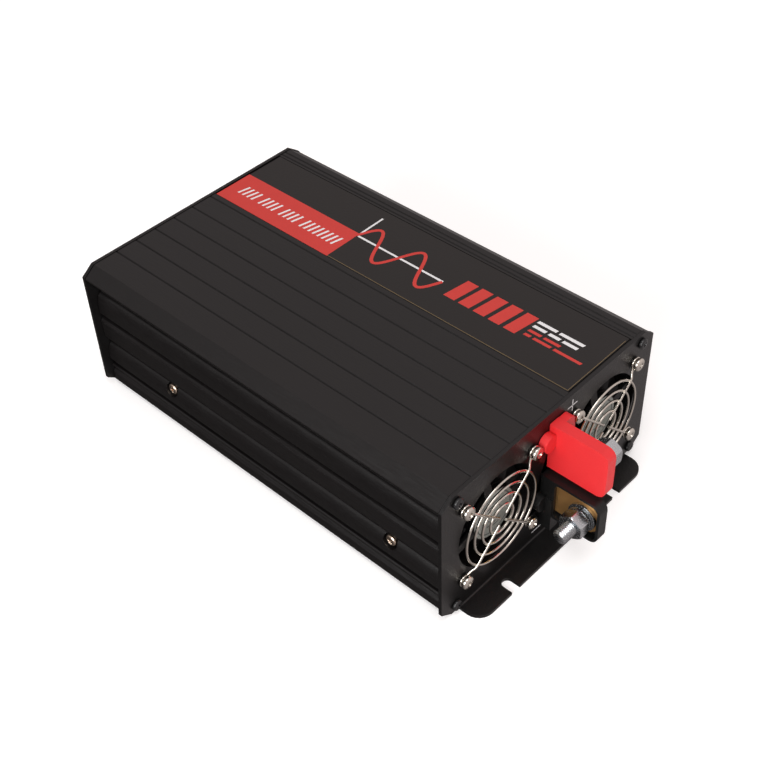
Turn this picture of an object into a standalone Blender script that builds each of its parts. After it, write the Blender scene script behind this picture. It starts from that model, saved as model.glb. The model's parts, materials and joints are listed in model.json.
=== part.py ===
"""Power inverter: an extruded aluminium case with two bent end plates, two fans
behind wire guards, a red and a black DC terminal, and an AC end with sockets.

Metres, +Z up. X runs along the case towards the DC end and Z = 0 is the plane that
the mounting flanges stand on. Everything is laid out from the middle of the case,
and recentre() then puts the origin under the middle of the whole object.
"""

import collections
import math

import bmesh
import bpy
from mathutils import Matrix, Vector

# ---------------------------------------------------------------- driving sizes
MM = 0.001
GAP = 0.3 * MM  # left between pieces that touch

CASE_LENGTH = 260 * MM  # outside of one end plate to the outside of the other
CASE_WIDTH = 164 * MM
CASE_TOP = 86 * MM  # top edge of the end plates
CASE_FOOT = 1.5 * MM  # bottom edge of the end plates, beside the flanges
PLATE = 2.0 * MM  # end plate thickness
CORNER_Y = 7.5 * MM  # cut corner of the end plates
CORNER_Z = 5.5 * MM

FLANGE_REACH = 14 * MM
FLANGE_WIDTH = 138 * MM
FLANGE_CORNER = 9 * MM
BEND_RADIUS = 1.0 * MM  # inside of the flange's bend
SLOT_SPACING = 84 * MM
SLOT_WIDTH = 6.2 * MM
SLOT_DEPTH = 8.5 * MM

COVER_WALL = 2.4 * MM
COVER_LIP = 79.3 * MM  # height of the lip that hangs over the side walls
LIP_WALL = 7.0 * MM  # from the case's side to the inside of the lip
RIB_PITCH = 13.8 * MM
RIB_COUNT = 6
RIB_GROOVE = 1.2 * MM
RIB_DEPTH = 0.9 * MM
LABEL_WIDTH = 51 * MM
LABEL_DEPTH = 0.8 * MM
LABEL_SHEET = 0.4 * MM
LABEL_END = 1 * MM  # from the end of the cover to the end of the label

WALL_FACE = 4.4 * MM  # the louvres stand this far in from the case's side
WALL_RECESS = 8.0 * MM  # and the grooves between them this far
WALL_INSIDE = 10.0 * MM
FLOOR = 2.6 * MM
PORT_SIZE = 7.0 * MM  # square boss that a corner screw threads into
PORT_HOLE = 1.8 * MM
CORNER_SCREW_Y = 71.5 * MM
CORNER_SCREW_TOP = 80.5 * MM
CORNER_SCREW_FOOT = 6.5 * MM

FAN_SIZE = 60 * MM
FAN_DEPTH = 20 * MM
FAN_Y = 41.5 * MM
FAN_Z = 46 * MM
FAN_HOLES = 50 * MM
FAN_BORE = 28.5 * MM
FAN_HUB = 15.5 * MM
FAN_BASE = 15 * MM  # the motor's base, which faces out and carries the fan's sticker
STRUT_TURN = 13  # degrees from level to the first of the base's four struts
BLADE_COUNT = 7
BLADE_TIP_GAP = 1.0 * MM
GUARD_WIRE = 0.75 * MM
GUARD_RINGS = (8.5 * MM, 14.2 * MM, 20 * MM, 25.8 * MM)
GUARD_ARM_START = 3.5 * MM  # from the guard's middle to its arms' inner ends
GUARD_LIFT = 2.6 * MM  # plate face to the middle of the ring wires

TERMINAL_REACH = 36 * MM  # the black tray's
TERMINAL_HEIGHT = 26 * MM
RED_REACH = 34.6 * MM
RED_HEIGHT = 29 * MM
TERMINAL_ROOT = 8.6 * MM
TERMINAL_DEPTH = 6.5 * MM
TERMINAL_WALL = 1.6 * MM
TERMINAL_FLOOR = 2.0 * MM
RED_FLOOR = 4.7 * MM  # so that the red tray's busbar lies level with its rim
TERMINAL_CORNER = 5 * MM
BOSS_RADIUS = 5.0 * MM
BOSS_REACH = 4.4 * MM
BOSS_SPACING = 10.6 * MM
BOSS_OFF_MIDDLE = 3.5 * MM
RED_BOSS_SPACING = 13.2 * MM
RED_BOSS_OFF_MIDDLE = 6 * MM
EAR_WALL = 4.6 * MM
BLACK_RIM_Y = -8.2 * MM  # open side of the black tray, which faces -Y
BLACK_Z = 35 * MM
BLACK_FOOT = 9 * MM  # block under the black tray's root
RED_RIM_Y = 2.5 * MM  # open side of the red tray, which faces +Y
RED_Z = 65 * MM
RED_SHELF = 9.9 * MM  # reach of the red ear's top towards +Y
BUSBAR_HEIGHT = 18 * MM
BUSBAR = 2.2 * MM
BUSBAR_INSIDE = 12 * MM
STUD_RADIUS = 4.0 * MM
STUD_REACH = 19.8 * MM
STUD_X = 25.5 * MM  # from the plate to the stud's axis
RED_STUD_REACH = 13.6 * MM
RED_STUD_X = 24.3 * MM
WASHER_RADIUS = 8.0 * MM
WASHER = 1.6 * MM
SPRING_WASHER_RADIUS = 6.9 * MM
SPRING_WASHER = 2.0 * MM
NUT_FLATS = 13 * MM
NUT = 6.5 * MM
BORE_PLAY = 0.35 * MM  # radial room between a stud or screw and what it passes

SOCKET_Y = (-47 * MM, 5 * MM)
SOCKET_Z = 46 * MM
SOCKET_FACE = 49 * MM
SOCKET_RADIUS = 21.5 * MM
SOCKET_WELL = 19.5 * MM
SOCKET_WELL_DEPTH = 17 * MM
SOCKET_BODY_DEPTH = 24 * MM
PIN_PITCH = 19 * MM
PIN_HOLE = 2.6 * MM

PANEL_Y = 53 * MM  # middle of the switch, port and lamps on the AC plate
SWITCH_Z = 62 * MM
SWITCH_WIDTH = 15 * MM
SWITCH_HEIGHT = 21 * MM
SWITCH_DEPTH = 16 * MM
ROCKER_ANGLE = 10  # degrees each way
USB_Z = 37 * MM
LED_Z = 26 * MM
LED_SPACING = 14 * MM
LED_RADIUS = 2.5 * MM
EARTH_Y = 68 * MM
EARTH_Z = 14 * MM

SIDE_SCREW_X = (-72 * MM, 92 * MM)
SIDE_SCREW_Z = 28 * MM
CLAMP_BAR = 6 * MM
CLAMP_BAR_HEIGHT = 14 * MM

BOARD_Z = 10 * MM
BOARD = 1.6 * MM
BOARD_EDGE = 66 * MM

# ------------------------------------------------------------- worked-out places
PLATE_FACE = CASE_LENGTH / 2
PLATE_BACK = PLATE_FACE - PLATE
BODY_END = PLATE_BACK - GAP
SIDE = CASE_WIDTH / 2
COVER_TOP = CASE_TOP - GAP
INSIDE_Y = SIDE - WALL_INSIDE
FLOOR_TOP = CASE_FOOT + FLOOR
PORT_TOP_FOOT = CORNER_SCREW_TOP - PORT_SIZE / 2
PORT_FOOT_TOP = CORNER_SCREW_FOOT + PORT_SIZE / 2 + GAP
FAN_X = PLATE_BACK - GAP - FAN_DEPTH / 2

COLLECTION = "power_inverter"
CUTTERS = "cutters"


# --------------------------------------------------------------------- helpers
def clear_scene():
    for obj in list(bpy.data.objects):
        bpy.data.objects.remove(obj, do_unlink=True)
    for name in (COLLECTION, CUTTERS):
        bpy.context.scene.collection.children.link(bpy.data.collections.new(name))


def material(name, colour, roughness, metallic=0.0):
    """A Principled BSDF with one colour; asking twice gives the same material."""
    found = bpy.data.materials.get(name)
    if found:
        return found
    made = bpy.data.materials.new(name)
    made.use_nodes = True
    shader = made.node_tree.nodes["Principled BSDF"]
    shader.inputs["Base Color"].default_value = (*colour, 1)
    shader.inputs["Roughness"].default_value = roughness
    shader.inputs["Metallic"].default_value = metallic
    return made


def anodised():
    return material("black_anodised_aluminium", (0.028, 0.026, 0.026), 0.45, 0.6)


def black_paint():
    return material("black_powder_coat", (0.035, 0.033, 0.032), 0.4)


def nickel():
    return material("nickel_plate", (0.6, 0.57, 0.52), 0.25, 1.0)


def zinc():
    return material("zinc_plate", (0.62, 0.63, 0.64), 0.3, 1.0)


def brass():
    return material("brass", (0.72, 0.5, 0.25), 0.3, 1.0)


def black_plastic():
    return material("black_abs", (0.02, 0.02, 0.02), 0.45)


def place(obj, name, finish, cutter=False):
    """Names an object and puts it in its collection, with its material."""
    obj.name = name
    obj.data.name = name
    for owner in list(obj.users_collection):
        owner.objects.unlink(obj)
    bpy.data.collections[CUTTERS if cutter else COLLECTION].objects.link(obj)
    if cutter:
        obj.hide_render = True
        obj.display_type = "WIRE"
    obj.data.materials.clear()
    if finish:
        obj.data.materials.append(finish)
    return obj


def apply_transform(obj):
    obj.data.transform(obj.matrix_basis)
    obj.matrix_basis = Matrix.Identity(4)
    return obj


def box(name, low, high, finish=None, cutter=False):
    low, high = Vector(low), Vector(high)
    bpy.ops.mesh.primitive_cube_add(size=1, location=(low + high) / 2)
    obj = bpy.context.object
    obj.scale = high - low
    return place(apply_transform(obj), name, finish, cutter)


TURN = {
    "X": Matrix.Rotation(math.radians(90), 4, "Y"),
    "Y": Matrix.Rotation(math.radians(-90), 4, "X"),
    "Z": Matrix.Identity(4),
}


def cylinder(name, start, axis, length, radius, finish=None, sides=24, cutter=False):
    """A cylinder from start along +axis, or along -axis for a negative length."""
    bpy.ops.mesh.primitive_cylinder_add(
        vertices=sides, radius=radius, depth=abs(length)
    )
    obj = bpy.context.object
    middle = Vector(start) + (TURN[axis].to_3x3() @ Vector((0, 0, length / 2)))
    obj.data.transform(Matrix.Translation(middle) @ TURN[axis])
    shade(obj)
    return place(obj, name, finish, cutter)


def shade(obj, angle=35):
    obj.data.shade_smooth()
    obj.data.set_sharp_from_angle(angle=math.radians(angle))


def mesh_of(obj):
    """The curve object made a mesh, with its caps welded on."""
    graph = bpy.context.evaluated_depsgraph_get()
    mesh = bpy.data.meshes.new_from_object(obj.evaluated_get(graph))
    mesh.transform(obj.matrix_basis)
    welded = bmesh.new()
    welded.from_mesh(mesh)
    bmesh.ops.remove_doubles(welded, verts=welded.verts, dist=1e-6)
    bmesh.ops.recalc_face_normals(welded, faces=welded.faces)
    welded.to_mesh(mesh)
    welded.free()
    bpy.data.objects.remove(obj, do_unlink=True)
    made = bpy.data.objects.new("outline", mesh)
    bpy.context.scene.collection.objects.link(made)
    return made


OUTLINE_TURN = {
    # which world axis the outline is pushed along: its local (x, y) become
    "X": Matrix(((0, 0, 1, 0), (1, 0, 0, 0), (0, 1, 0, 0), (0, 0, 0, 1))),  # (Y, Z)
    "Y": Matrix(((1, 0, 0, 0), (0, 0, -1, 0), (0, 1, 0, 0), (0, 0, 0, 1))),  # (X, Z)
    "Z": Matrix.Identity(4),  # (X, Y)
}


def prism(name, outline, axis, low, high, finish=None, holes=(), cutter=False):
    """A flat outline, with any holes, pushed from low to high along an axis."""
    curve = bpy.data.curves.new(name, "CURVE")
    curve.dimensions = "2D"
    curve.fill_mode = "BOTH"
    curve.extrude = (high - low) / 2
    for loop in (outline, *holes):
        spline = curve.splines.new("POLY")
        spline.points.add(len(loop) - 1)
        for point, (x, y) in zip(spline.points, loop):
            point.co = (x, y, 0, 1)
        spline.use_cyclic_u = True
    obj = bpy.data.objects.new(name, curve)
    bpy.context.scene.collection.objects.link(obj)
    turn = OUTLINE_TURN[axis]
    push = turn.to_3x3() @ Vector((0, 0, 1))
    # The outline's own normal is -Y for axis Y, so the middle goes by coordinate.
    middle = Vector([abs(part) for part in push]) * ((low + high) / 2)
    obj.matrix_basis = Matrix.Translation(middle) @ turn
    bpy.context.view_layer.update()
    return place(mesh_of(obj), name, finish, cutter)


def turned(name, profile, start, axis, finish=None, steps=24, cutter=False):
    """A profile of (radius, height) points from top to bottom, spun about an axis."""
    mesh = bpy.data.meshes.new(name)
    points = [(radius, 0, height) for radius, height in profile]
    edges = [(i, i + 1) for i in range(len(points) - 1)]
    closed = profile[0][0] > 0
    if closed:
        edges.append((len(points) - 1, 0))
    mesh.from_pydata(points, edges, [])
    obj = bpy.data.objects.new(name, mesh)
    bpy.context.scene.collection.objects.link(obj)
    screw = obj.modifiers.new("Screw", "SCREW")
    screw.steps = steps
    screw.render_steps = steps
    screw.use_merge_vertices = True
    screw.merge_threshold = 1e-6
    obj.matrix_basis = Matrix.Translation(start) @ TURN[axis]
    bpy.context.view_layer.update()
    made = place(mesh_of(obj), name, finish, cutter)
    shade(made)
    return made


def wire(points, radius, sides_setting=1, cyclic=False):
    """A bent wire along a list of points, as a helper mesh."""
    curve = bpy.data.curves.new("wire", "CURVE")
    curve.dimensions = "3D"
    curve.bevel_depth = radius
    curve.bevel_resolution = sides_setting
    curve.use_fill_caps = True
    spline = curve.splines.new("POLY")
    spline.points.add(len(points) - 1)
    for point, place_at in zip(spline.points, points):
        point.co = (*place_at, 1)
    spline.use_cyclic_u = cyclic
    obj = bpy.data.objects.new("wire", curve)
    bpy.context.scene.collection.objects.link(obj)
    bpy.context.view_layer.update()
    return place(mesh_of(obj), "wire", None, cutter=True)


def boolean(obj, other, operation):
    modifier = obj.modifiers.new(operation.title(), "BOOLEAN")
    modifier.operation = operation
    modifier.object = other
    return obj


def cut(obj, *others):
    for other in others:
        boolean(obj, other, "DIFFERENCE")
    return obj


def join(obj, *others):
    for other in others:
        boolean(obj, other, "UNION")
    return obj


def hole(start, axis, length, radius, sides=24):
    return cylinder("hole", start, axis, length, radius, sides=sides, cutter=True)


def arc(centre, radius, start, end, steps):
    """Points of an arc, in degrees, ends included."""
    return [
        (
            centre[0] + radius * math.cos(math.radians(start + (end - start) * i / steps)),
            centre[1] + radius * math.sin(math.radians(start + (end - start) * i / steps)),
        )
        for i in range(steps + 1)
    ]


def rounded(low, high, radius, steps=4):
    """A rectangle with round corners, anticlockwise."""
    corners = (
        ((high[0] - radius, low[1] + radius), -90),
        ((high[0] - radius, high[1] - radius), 0),
        ((low[0] + radius, high[1] - radius), 90),
        ((low[0] + radius, low[1] + radius), 180),
    )
    outline = []
    for centre, start in corners:
        outline += arc(centre, radius, start, start + 90, steps)
    return outline


def mirrored(half):
    """A half outline on the +Y side, given from foot to top, closed by its mirror."""
    return half + [(-y, z) for y, z in reversed(half)]


# ------------------------------------------------------------------ case pieces
def cover_top_line():
    """The ribbed top of the cover from +Y to -Y, with the label's channel."""
    groove_y = -SIDE + CORNER_Y + 2 * MM + RIB_PITCH
    first = [groove_y + RIB_PITCH * i for i in range(RIB_COUNT)]
    channel_low = first[-1] + 3.5 * MM
    channel_high = channel_low + LABEL_WIDTH + 2 * GAP
    line = []
    for groove in (channel_high + 5 * MM, channel_high + 2 * MM):
        line += v_groove(groove)
    line += [
        (channel_high, COVER_TOP),
        (channel_high, COVER_TOP - LABEL_DEPTH),
        (channel_low, COVER_TOP - LABEL_DEPTH),
        (channel_low, COVER_TOP),
    ]
    for groove in reversed(first):
        line += v_groove(groove)
    return line, channel_low, channel_high


def v_groove(middle):
    """A groove with one steep side, from +Y to -Y."""
    return [
        (middle + RIB_GROOVE / 2, COVER_TOP),
        (middle - RIB_GROOVE / 4, COVER_TOP - RIB_DEPTH),
        (middle - RIB_GROOVE / 2, COVER_TOP),
    ]


def make_top_cover():
    side = SIDE - GAP
    inner = CORNER_SCREW_Y - PORT_SIZE / 2
    outer = SIDE - LIP_WALL
    under = COVER_TOP - COVER_WALL
    right = [
        (-inner, under),
        (inner, under),
        (inner, PORT_TOP_FOOT),
        (outer, PORT_TOP_FOOT),
        (outer, COVER_LIP),
        (side, COVER_LIP),
        (side, CASE_TOP - CORNER_Z - GAP),
        (side - CORNER_Y, COVER_TOP),
    ]
    left = [(-y, z) for y, z in reversed(right[2:])]
    line, _, _ = cover_top_line()
    cover = prism("top_cover", right + line + left, "X", -BODY_END, BODY_END, anodised())
    for side_sign in (1, -1):
        start = (-BODY_END - GAP, side_sign * CORNER_SCREW_Y, CORNER_SCREW_TOP)
        cut(cover, hole(start, "X", 2 * BODY_END + 2 * GAP, PORT_HOLE, 12))
    return cover


def make_label():
    _, low, high = cover_top_line()
    foot = COVER_TOP - LABEL_DEPTH + GAP
    reach = BODY_END - LABEL_END
    finish = material("printed_film", (0.03, 0.03, 0.03), 0.3)
    return box("label", (-reach, low + GAP, foot), (reach, high - GAP, foot + LABEL_SHEET), finish)


def louvre(top, foot):
    """One band of the wall: flat, then rounding in towards its top edge."""
    reach = WALL_RECESS - WALL_FACE
    rise = 8.5 * MM
    line = [(SIDE - WALL_FACE, foot)]
    for i in range(9):
        turn = math.radians(90 * i / 8)
        line.append(
            (
                SIDE - WALL_RECESS + reach * math.cos(turn),
                top - rise + rise * math.sin(turn),
            )
        )
    return line


def ridge(middle, half_height, proud):
    """A round-nosed ridge that stands proud of the louvres' face."""
    root = SIDE - WALL_FACE - 2.4 * MM
    nose = SIDE - WALL_FACE + proud
    return [
        (root, middle - half_height),
        (nose - half_height / 2, middle - half_height),
        (nose, middle - half_height / 3),
        (nose, middle + half_height / 3),
        (nose - half_height, middle + half_height),
        (root, middle + half_height),
    ]


def wall_outline():
    """Outside of a side wall on the +Y side, from foot to top."""
    face = SIDE - WALL_FACE
    line = [
        (face - 2 * MM, CASE_FOOT + GAP),
        (face, CASE_FOOT + 2 * MM),
        (face, 9 * MM),
        (face - 1.2 * MM, 11 * MM),
        (face - 2.4 * MM, 11.6 * MM),
    ]
    line += ridge(14.2 * MM, 0.7 * MM, -0.2 * MM)
    line.append((face - 2.4 * MM, 19.2 * MM))
    line += louvre(31.0 * MM, 19.2 * MM)
    line.append((SIDE - WALL_RECESS, 36.0 * MM))
    line += [
        (face, 36.0 * MM),
        (face + 0.3 * MM, 46.2 * MM),
        (face + 0.6 * MM, 48.0 * MM),
        (face - 0.4 * MM, 49.8 * MM),
        (face - 2.4 * MM, 50.4 * MM),
        (face - 2.4 * MM, 53.4 * MM),
    ]
    line += louvre(67.0 * MM, 53.4 * MM)
    line.append((SIDE - WALL_RECESS, PORT_TOP_FOOT - GAP))
    return line


def make_lower_housing():
    """The floor, both walls and the two lower screw bosses, as one extrusion."""
    inner = CORNER_SCREW_Y - PORT_SIZE / 2
    inside = [
        (INSIDE_Y, PORT_TOP_FOOT - GAP),
        (INSIDE_Y, PORT_FOOT_TOP),
        (inner, PORT_FOOT_TOP),
        (inner, FLOOR_TOP),
    ]
    half = wall_outline() + inside
    outline = half + [(-y, z) for y, z in reversed(half)]
    housing = prism("lower_housing", outline, "X", -BODY_END, BODY_END, anodised())
    for sign in (1, -1):
        start = (-BODY_END - GAP, sign * CORNER_SCREW_Y, CORNER_SCREW_FOOT)
        cut(housing, hole(start, "X", 2 * BODY_END + 2 * GAP, PORT_HOLE, 12))
        for x in SIDE_SCREW_X:
            start = (x, sign * (INSIDE_Y - MM), SIDE_SCREW_Z)
            cut(
                housing,
                hole(start, "Y", sign * WALL_INSIDE, 1.5 * MM + BORE_PLAY, 12),
                hole(
                    (x, sign * (SIDE - WALL_RECESS + 0.2 * MM), SIDE_SCREW_Z),
                    "Y",
                    sign * WALL_RECESS,
                    4.6 * MM,
                    20,
                ),
            )
    return housing


def plate_outline():
    """An end plate seen along X: a rectangle with four cut corners."""
    return [
        (SIDE - CORNER_Y, CASE_FOOT),
        (SIDE, CASE_FOOT + CORNER_Z),
        (SIDE, CASE_TOP - CORNER_Z),
        (SIDE - CORNER_Y, CASE_TOP),
        (-SIDE + CORNER_Y, CASE_TOP),
        (-SIDE, CASE_TOP - CORNER_Z),
        (-SIDE, CASE_FOOT + CORNER_Z),
        (-SIDE + CORNER_Y, CASE_FOOT),
    ]


def flange_outline(end):
    """The flange from above, with round outer corners and two open slots."""
    half = FLANGE_WIDTH / 2
    edge = PLATE_FACE + FLANGE_REACH
    near = PLATE_FACE + BEND_RADIUS
    radius = SLOT_WIDTH / 2
    line = [(near, -half)]
    line += arc((edge - FLANGE_CORNER, -half + FLANGE_CORNER), FLANGE_CORNER, -90, 0, 6)
    for y in (-SLOT_SPACING / 2, SLOT_SPACING / 2):
        line.append((edge, y - radius))
        line += arc((edge - SLOT_DEPTH + radius, y), radius, -90, -270, 8)
        line.append((edge, y + radius))
    line += arc((edge - FLANGE_CORNER, half - FLANGE_CORNER), FLANGE_CORNER, 0, 90, 6)
    line.append((near, half))
    if end > 0:
        return line
    return [(-x, y) for x, y in reversed(line)]


def bend_outline(end):
    """The quarter bend between plate and flange, seen along Y."""
    centre = (PLATE_FACE + BEND_RADIUS, PLATE + BEND_RADIUS)
    outside = arc(centre, BEND_RADIUS + PLATE, 180, 270, 5)
    inside = arc(centre, BEND_RADIUS, 270, 180, 5)
    overlap = 0.5 * MM  # runs into the plate and the flange, so that they join
    line = [(PLATE_BACK, centre[1] + overlap), *outside]
    line += [(centre[0] + overlap, 0), (centre[0] + overlap, PLATE), *inside]
    line.append((PLATE_FACE, centre[1] + overlap))
    if end > 0:
        return line
    return [(-x, z) for x, z in reversed(line)]


def make_end_plate(name, end):
    """A sheet-metal plate closing one end; end is +1 for DC and -1 for AC."""
    low, high = sorted((end * PLATE_BACK, end * PLATE_FACE))
    plate = prism(name, plate_outline(), "X", low, high, black_paint())
    flange = prism("flange", flange_outline(end), "Z", 0, PLATE, cutter=True)
    half = FLANGE_WIDTH / 2
    bend = prism("bend", bend_outline(end), "Y", -half, half, cutter=True)
    join(plate, bend, flange)
    start = end * (PLATE_BACK - MM)
    for y in (-CORNER_SCREW_Y, CORNER_SCREW_Y):
        for z in (CORNER_SCREW_FOOT, CORNER_SCREW_TOP):
            cut(plate, hole((start, y, z), "X", end * (PLATE + 2 * MM), PORT_HOLE + BORE_PLAY, 12))
    return plate


def make_dc_end_plate():
    plate = make_end_plate("dc_end_plate", 1)
    start = PLATE_BACK - MM
    length = PLATE + 2 * MM
    for side in (-1, 1):
        cut(plate, hole((start, side * FAN_Y, FAN_Z), "X", length, FAN_BORE, 48))
        for y, z in fan_corners(side):
            cut(plate, hole((start, y, z), "X", length, 2.0 * MM + BORE_PLAY, 12))
    for tray in terminals():
        z = tray.z
        y = tray.rim - tray.facing * (TERMINAL_DEPTH - tray.floor - GAP - BUSBAR / 2)
        half_y = BUSBAR / 2 + 2 * GAP
        half_z = BUSBAR_HEIGHT / 2 + 2 * GAP
        slot = box(
            "busbar_slot",
            (start, y - half_y, z - half_z),
            (start + length, y + half_y, z + half_z),
            cutter=True,
        )
        cut(plate, slot)
    return plate


def make_ac_end_plate():
    plate = make_end_plate("ac_end_plate", -1)
    start = -PLATE_BACK + MM
    length = -(PLATE + 2 * MM)
    for y in SOCKET_Y:
        cut(plate, hole((start, y, SOCKET_Z), "X", length, SOCKET_RADIUS + GAP, 40))
    half_y = SWITCH_WIDTH / 2 - MM + GAP
    half_z = SWITCH_HEIGHT / 2 - MM + GAP
    low_x, high_x = -PLATE_FACE - MM, -PLATE_BACK + MM
    cut(
        plate,
        box(
            "switch_hole",
            (low_x, PANEL_Y - half_y, SWITCH_Z - half_z),
            (high_x, PANEL_Y + half_y, SWITCH_Z + half_z),
            cutter=True,
        ),
        box(
            "usb_hole",
            (low_x, PANEL_Y - 6.6 * MM - GAP, USB_Z - 2.9 * MM - GAP),
            (high_x, PANEL_Y + 6.6 * MM + GAP, USB_Z + 2.9 * MM + GAP),
            cutter=True,
        ),
        hole((start, EARTH_Y, EARTH_Z), "X", length, 2.0 * MM + BORE_PLAY, 12),
    )
    for y in led_places():
        cut(plate, hole((start, y, LED_Z), "X", length, LED_RADIUS + BORE_PLAY, 16))
    for row in range(3):
        cut(plate, vent_slot(low_x, high_x, PANEL_Y, (9 + 4.5 * row) * MM))
    return plate


def vent_slot(low_x, high_x, y, z):
    outline = rounded((y - 11 * MM, z - 1.1 * MM), (y + 9 * MM, z + 1.1 * MM), 1.0 * MM, 2)
    return prism("vent", outline, "X", low_x, high_x, cutter=True)


# ---------------------------------------------------------------------- screws
def make_screw(name, seat, axis, out, head_radius, head, shank_radius, shank, finish):
    """A pan-head cross-recess screw. seat is under its head, out is +1 or -1."""
    profile = [
        (0, head),
        (head_radius * 0.55, head * 0.97),
        (head_radius * 0.86, head * 0.68),
        (head_radius, head * 0.25),
        (head_radius, 0),
        (shank_radius, 0),
        (shank_radius, -shank),
        (0, -shank),
    ]
    screw = turned(name, profile, (0, 0, 0), "Z", finish, steps=16)
    recess_depth = head * 0.45
    for size in ((head_radius * 0.55, 0.45 * MM), (0.45 * MM, head_radius * 0.55)):
        recess = box(
            "recess",
            (-size[0], -size[1], head - recess_depth),
            (size[0], size[1], head + MM),
            cutter=True,
        )
        move(recess, seat, axis, out)
        cut(screw, recess)
    return move(screw, seat, axis, out)


def move(obj, start, axis, out):
    """Stands a mesh made along +Z at a place, pointing along out * axis."""
    turn = TURN[axis]
    if out < 0:
        turn = turn @ Matrix.Rotation(math.pi, 4, "X")
    obj.data.transform(Matrix.Translation(start) @ turn)
    return obj


def make_corner_screws():
    for end, end_name in ((1, "dc"), (-1, "ac")):
        number = 0
        for z in (CORNER_SCREW_TOP, CORNER_SCREW_FOOT):
            for y in (-CORNER_SCREW_Y, CORNER_SCREW_Y):
                number += 1
                make_screw(
                    f"{end_name}_plate_screw_{number}",
                    (end * (PLATE_FACE + GAP), y, z),
                    "X",
                    end,
                    3.1 * MM,
                    2.0 * MM,
                    PORT_HOLE - BORE_PLAY,
                    10 * MM,
                    material("black_oxide_steel", (0.03, 0.03, 0.03), 0.3, 0.8),
                )


def make_side_screws():
    number = 0
    for sign in (-1, 1):
        for x in SIDE_SCREW_X:
            number += 1
            make_screw(
                f"side_screw_{number}",
                (x, sign * (SIDE - WALL_RECESS + 0.2 * MM + GAP), SIDE_SCREW_Z),
                "Y",
                sign,
                3.4 * MM,
                2.3 * MM,
                1.5 * MM,
                6.5 * MM,
                nickel(),
            )


# ------------------------------------------------------------------------ fans
def fan_corners(side):
    half = FAN_HOLES / 2
    return [
        (side * FAN_Y + y, FAN_Z + z)
        for z in (half, -half)
        for y in (-half, half)
    ]


def make_fan_frame(name, side):
    """A square frame with a round duct, four corner holes and a motor mount."""
    y, z = side * FAN_Y, FAN_Z
    half = FAN_SIZE / 2
    low, high = FAN_X - FAN_DEPTH / 2, FAN_X + FAN_DEPTH / 2
    outline = rounded((y - half, z - half), (y + half, z + half), 4 * MM, 3)
    finish = material("fan_frame_pbt", (0.015, 0.015, 0.015), 0.5)
    frame = prism(name, outline, "X", low, high, finish)
    cut(frame, hole((low - MM, y, z), "X", FAN_DEPTH + 2 * MM, FAN_BORE, 40))
    for corner_y, corner_z in fan_corners(side):
        cut(frame, hole((low - MM, corner_y, corner_z), "X", FAN_DEPTH + 2 * MM, 2.4 * MM, 12))
    struts = []
    for turn in (STRUT_TURN, STRUT_TURN + 90):
        strut = box(
            "strut",
            (high - 2.2 * MM, -FAN_BORE - MM, -2.6 * MM),
            (high - 0.4 * MM, FAN_BORE + MM, 2.6 * MM),
            cutter=True,
        )
        strut.data.transform(
            Matrix.Translation((0, y, z)) @ Matrix.Rotation(math.radians(turn), 4, "X")
        )
        struts.append(strut)
    base = cylinder(
        "motor_base", (high, y, z), "X", -2.8 * MM, FAN_BASE, sides=32, cutter=True
    )
    pin = cylinder("pin", (high - MM, y, z), "X", -15 * MM, 1.5 * MM, sides=10, cutter=True)
    return join(frame, *struts, base, pin)


def make_fan_rotor(name, side):
    """A hub cup with pitched blades, its object's origin on its axis."""
    low = FAN_X - FAN_DEPTH / 2 + 1.5 * MM
    high = FAN_X + FAN_DEPTH / 2 - 3.5 * MM
    depth = high - low
    wall = 1.6 * MM
    profile = [
        (0, wall),
        (1.5 * MM + BORE_PLAY, wall),
        (1.5 * MM + BORE_PLAY, 2 * wall),
        (FAN_HUB - wall, 2 * wall),
        (FAN_HUB - wall, depth),
        (FAN_HUB, depth),
        (FAN_HUB, MM),
        (FAN_HUB - MM, 0),
        (0, 0),
    ]
    finish = material("fan_rotor_pbt", (0.02, 0.02, 0.02), 0.4)
    rotor = turned(name, profile, (0, 0, 0), "X", finish, steps=24)
    reach = FAN_BORE - BLADE_TIP_GAP
    for number in range(BLADE_COUNT):
        blade = box(
            "blade",
            (-depth * 0.62, -0.7 * MM, FAN_HUB - 1.2 * MM),
            (depth * 0.62, 0.7 * MM, reach + MM),
            cutter=True,
        )
        pitch = Matrix.Rotation(math.radians(52), 4, "Z")
        around = Matrix.Rotation(2 * math.pi * number / BLADE_COUNT, 4, "X")
        blade.data.transform(
            Matrix.Translation((depth / 2, 0, 0)) @ around @ pitch
        )
        join(rotor, blade)
    trim = cylinder("blade_trim", (0, 0, 0), "X", depth, reach, sides=40, cutter=True)
    boolean(rotor, trim, "INTERSECT")
    axis_place = Vector((low, side * FAN_Y, FAN_Z))
    rotor.location = axis_place
    for modifier in rotor.modifiers:
        modifier.object.location = axis_place
    return rotor


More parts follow.
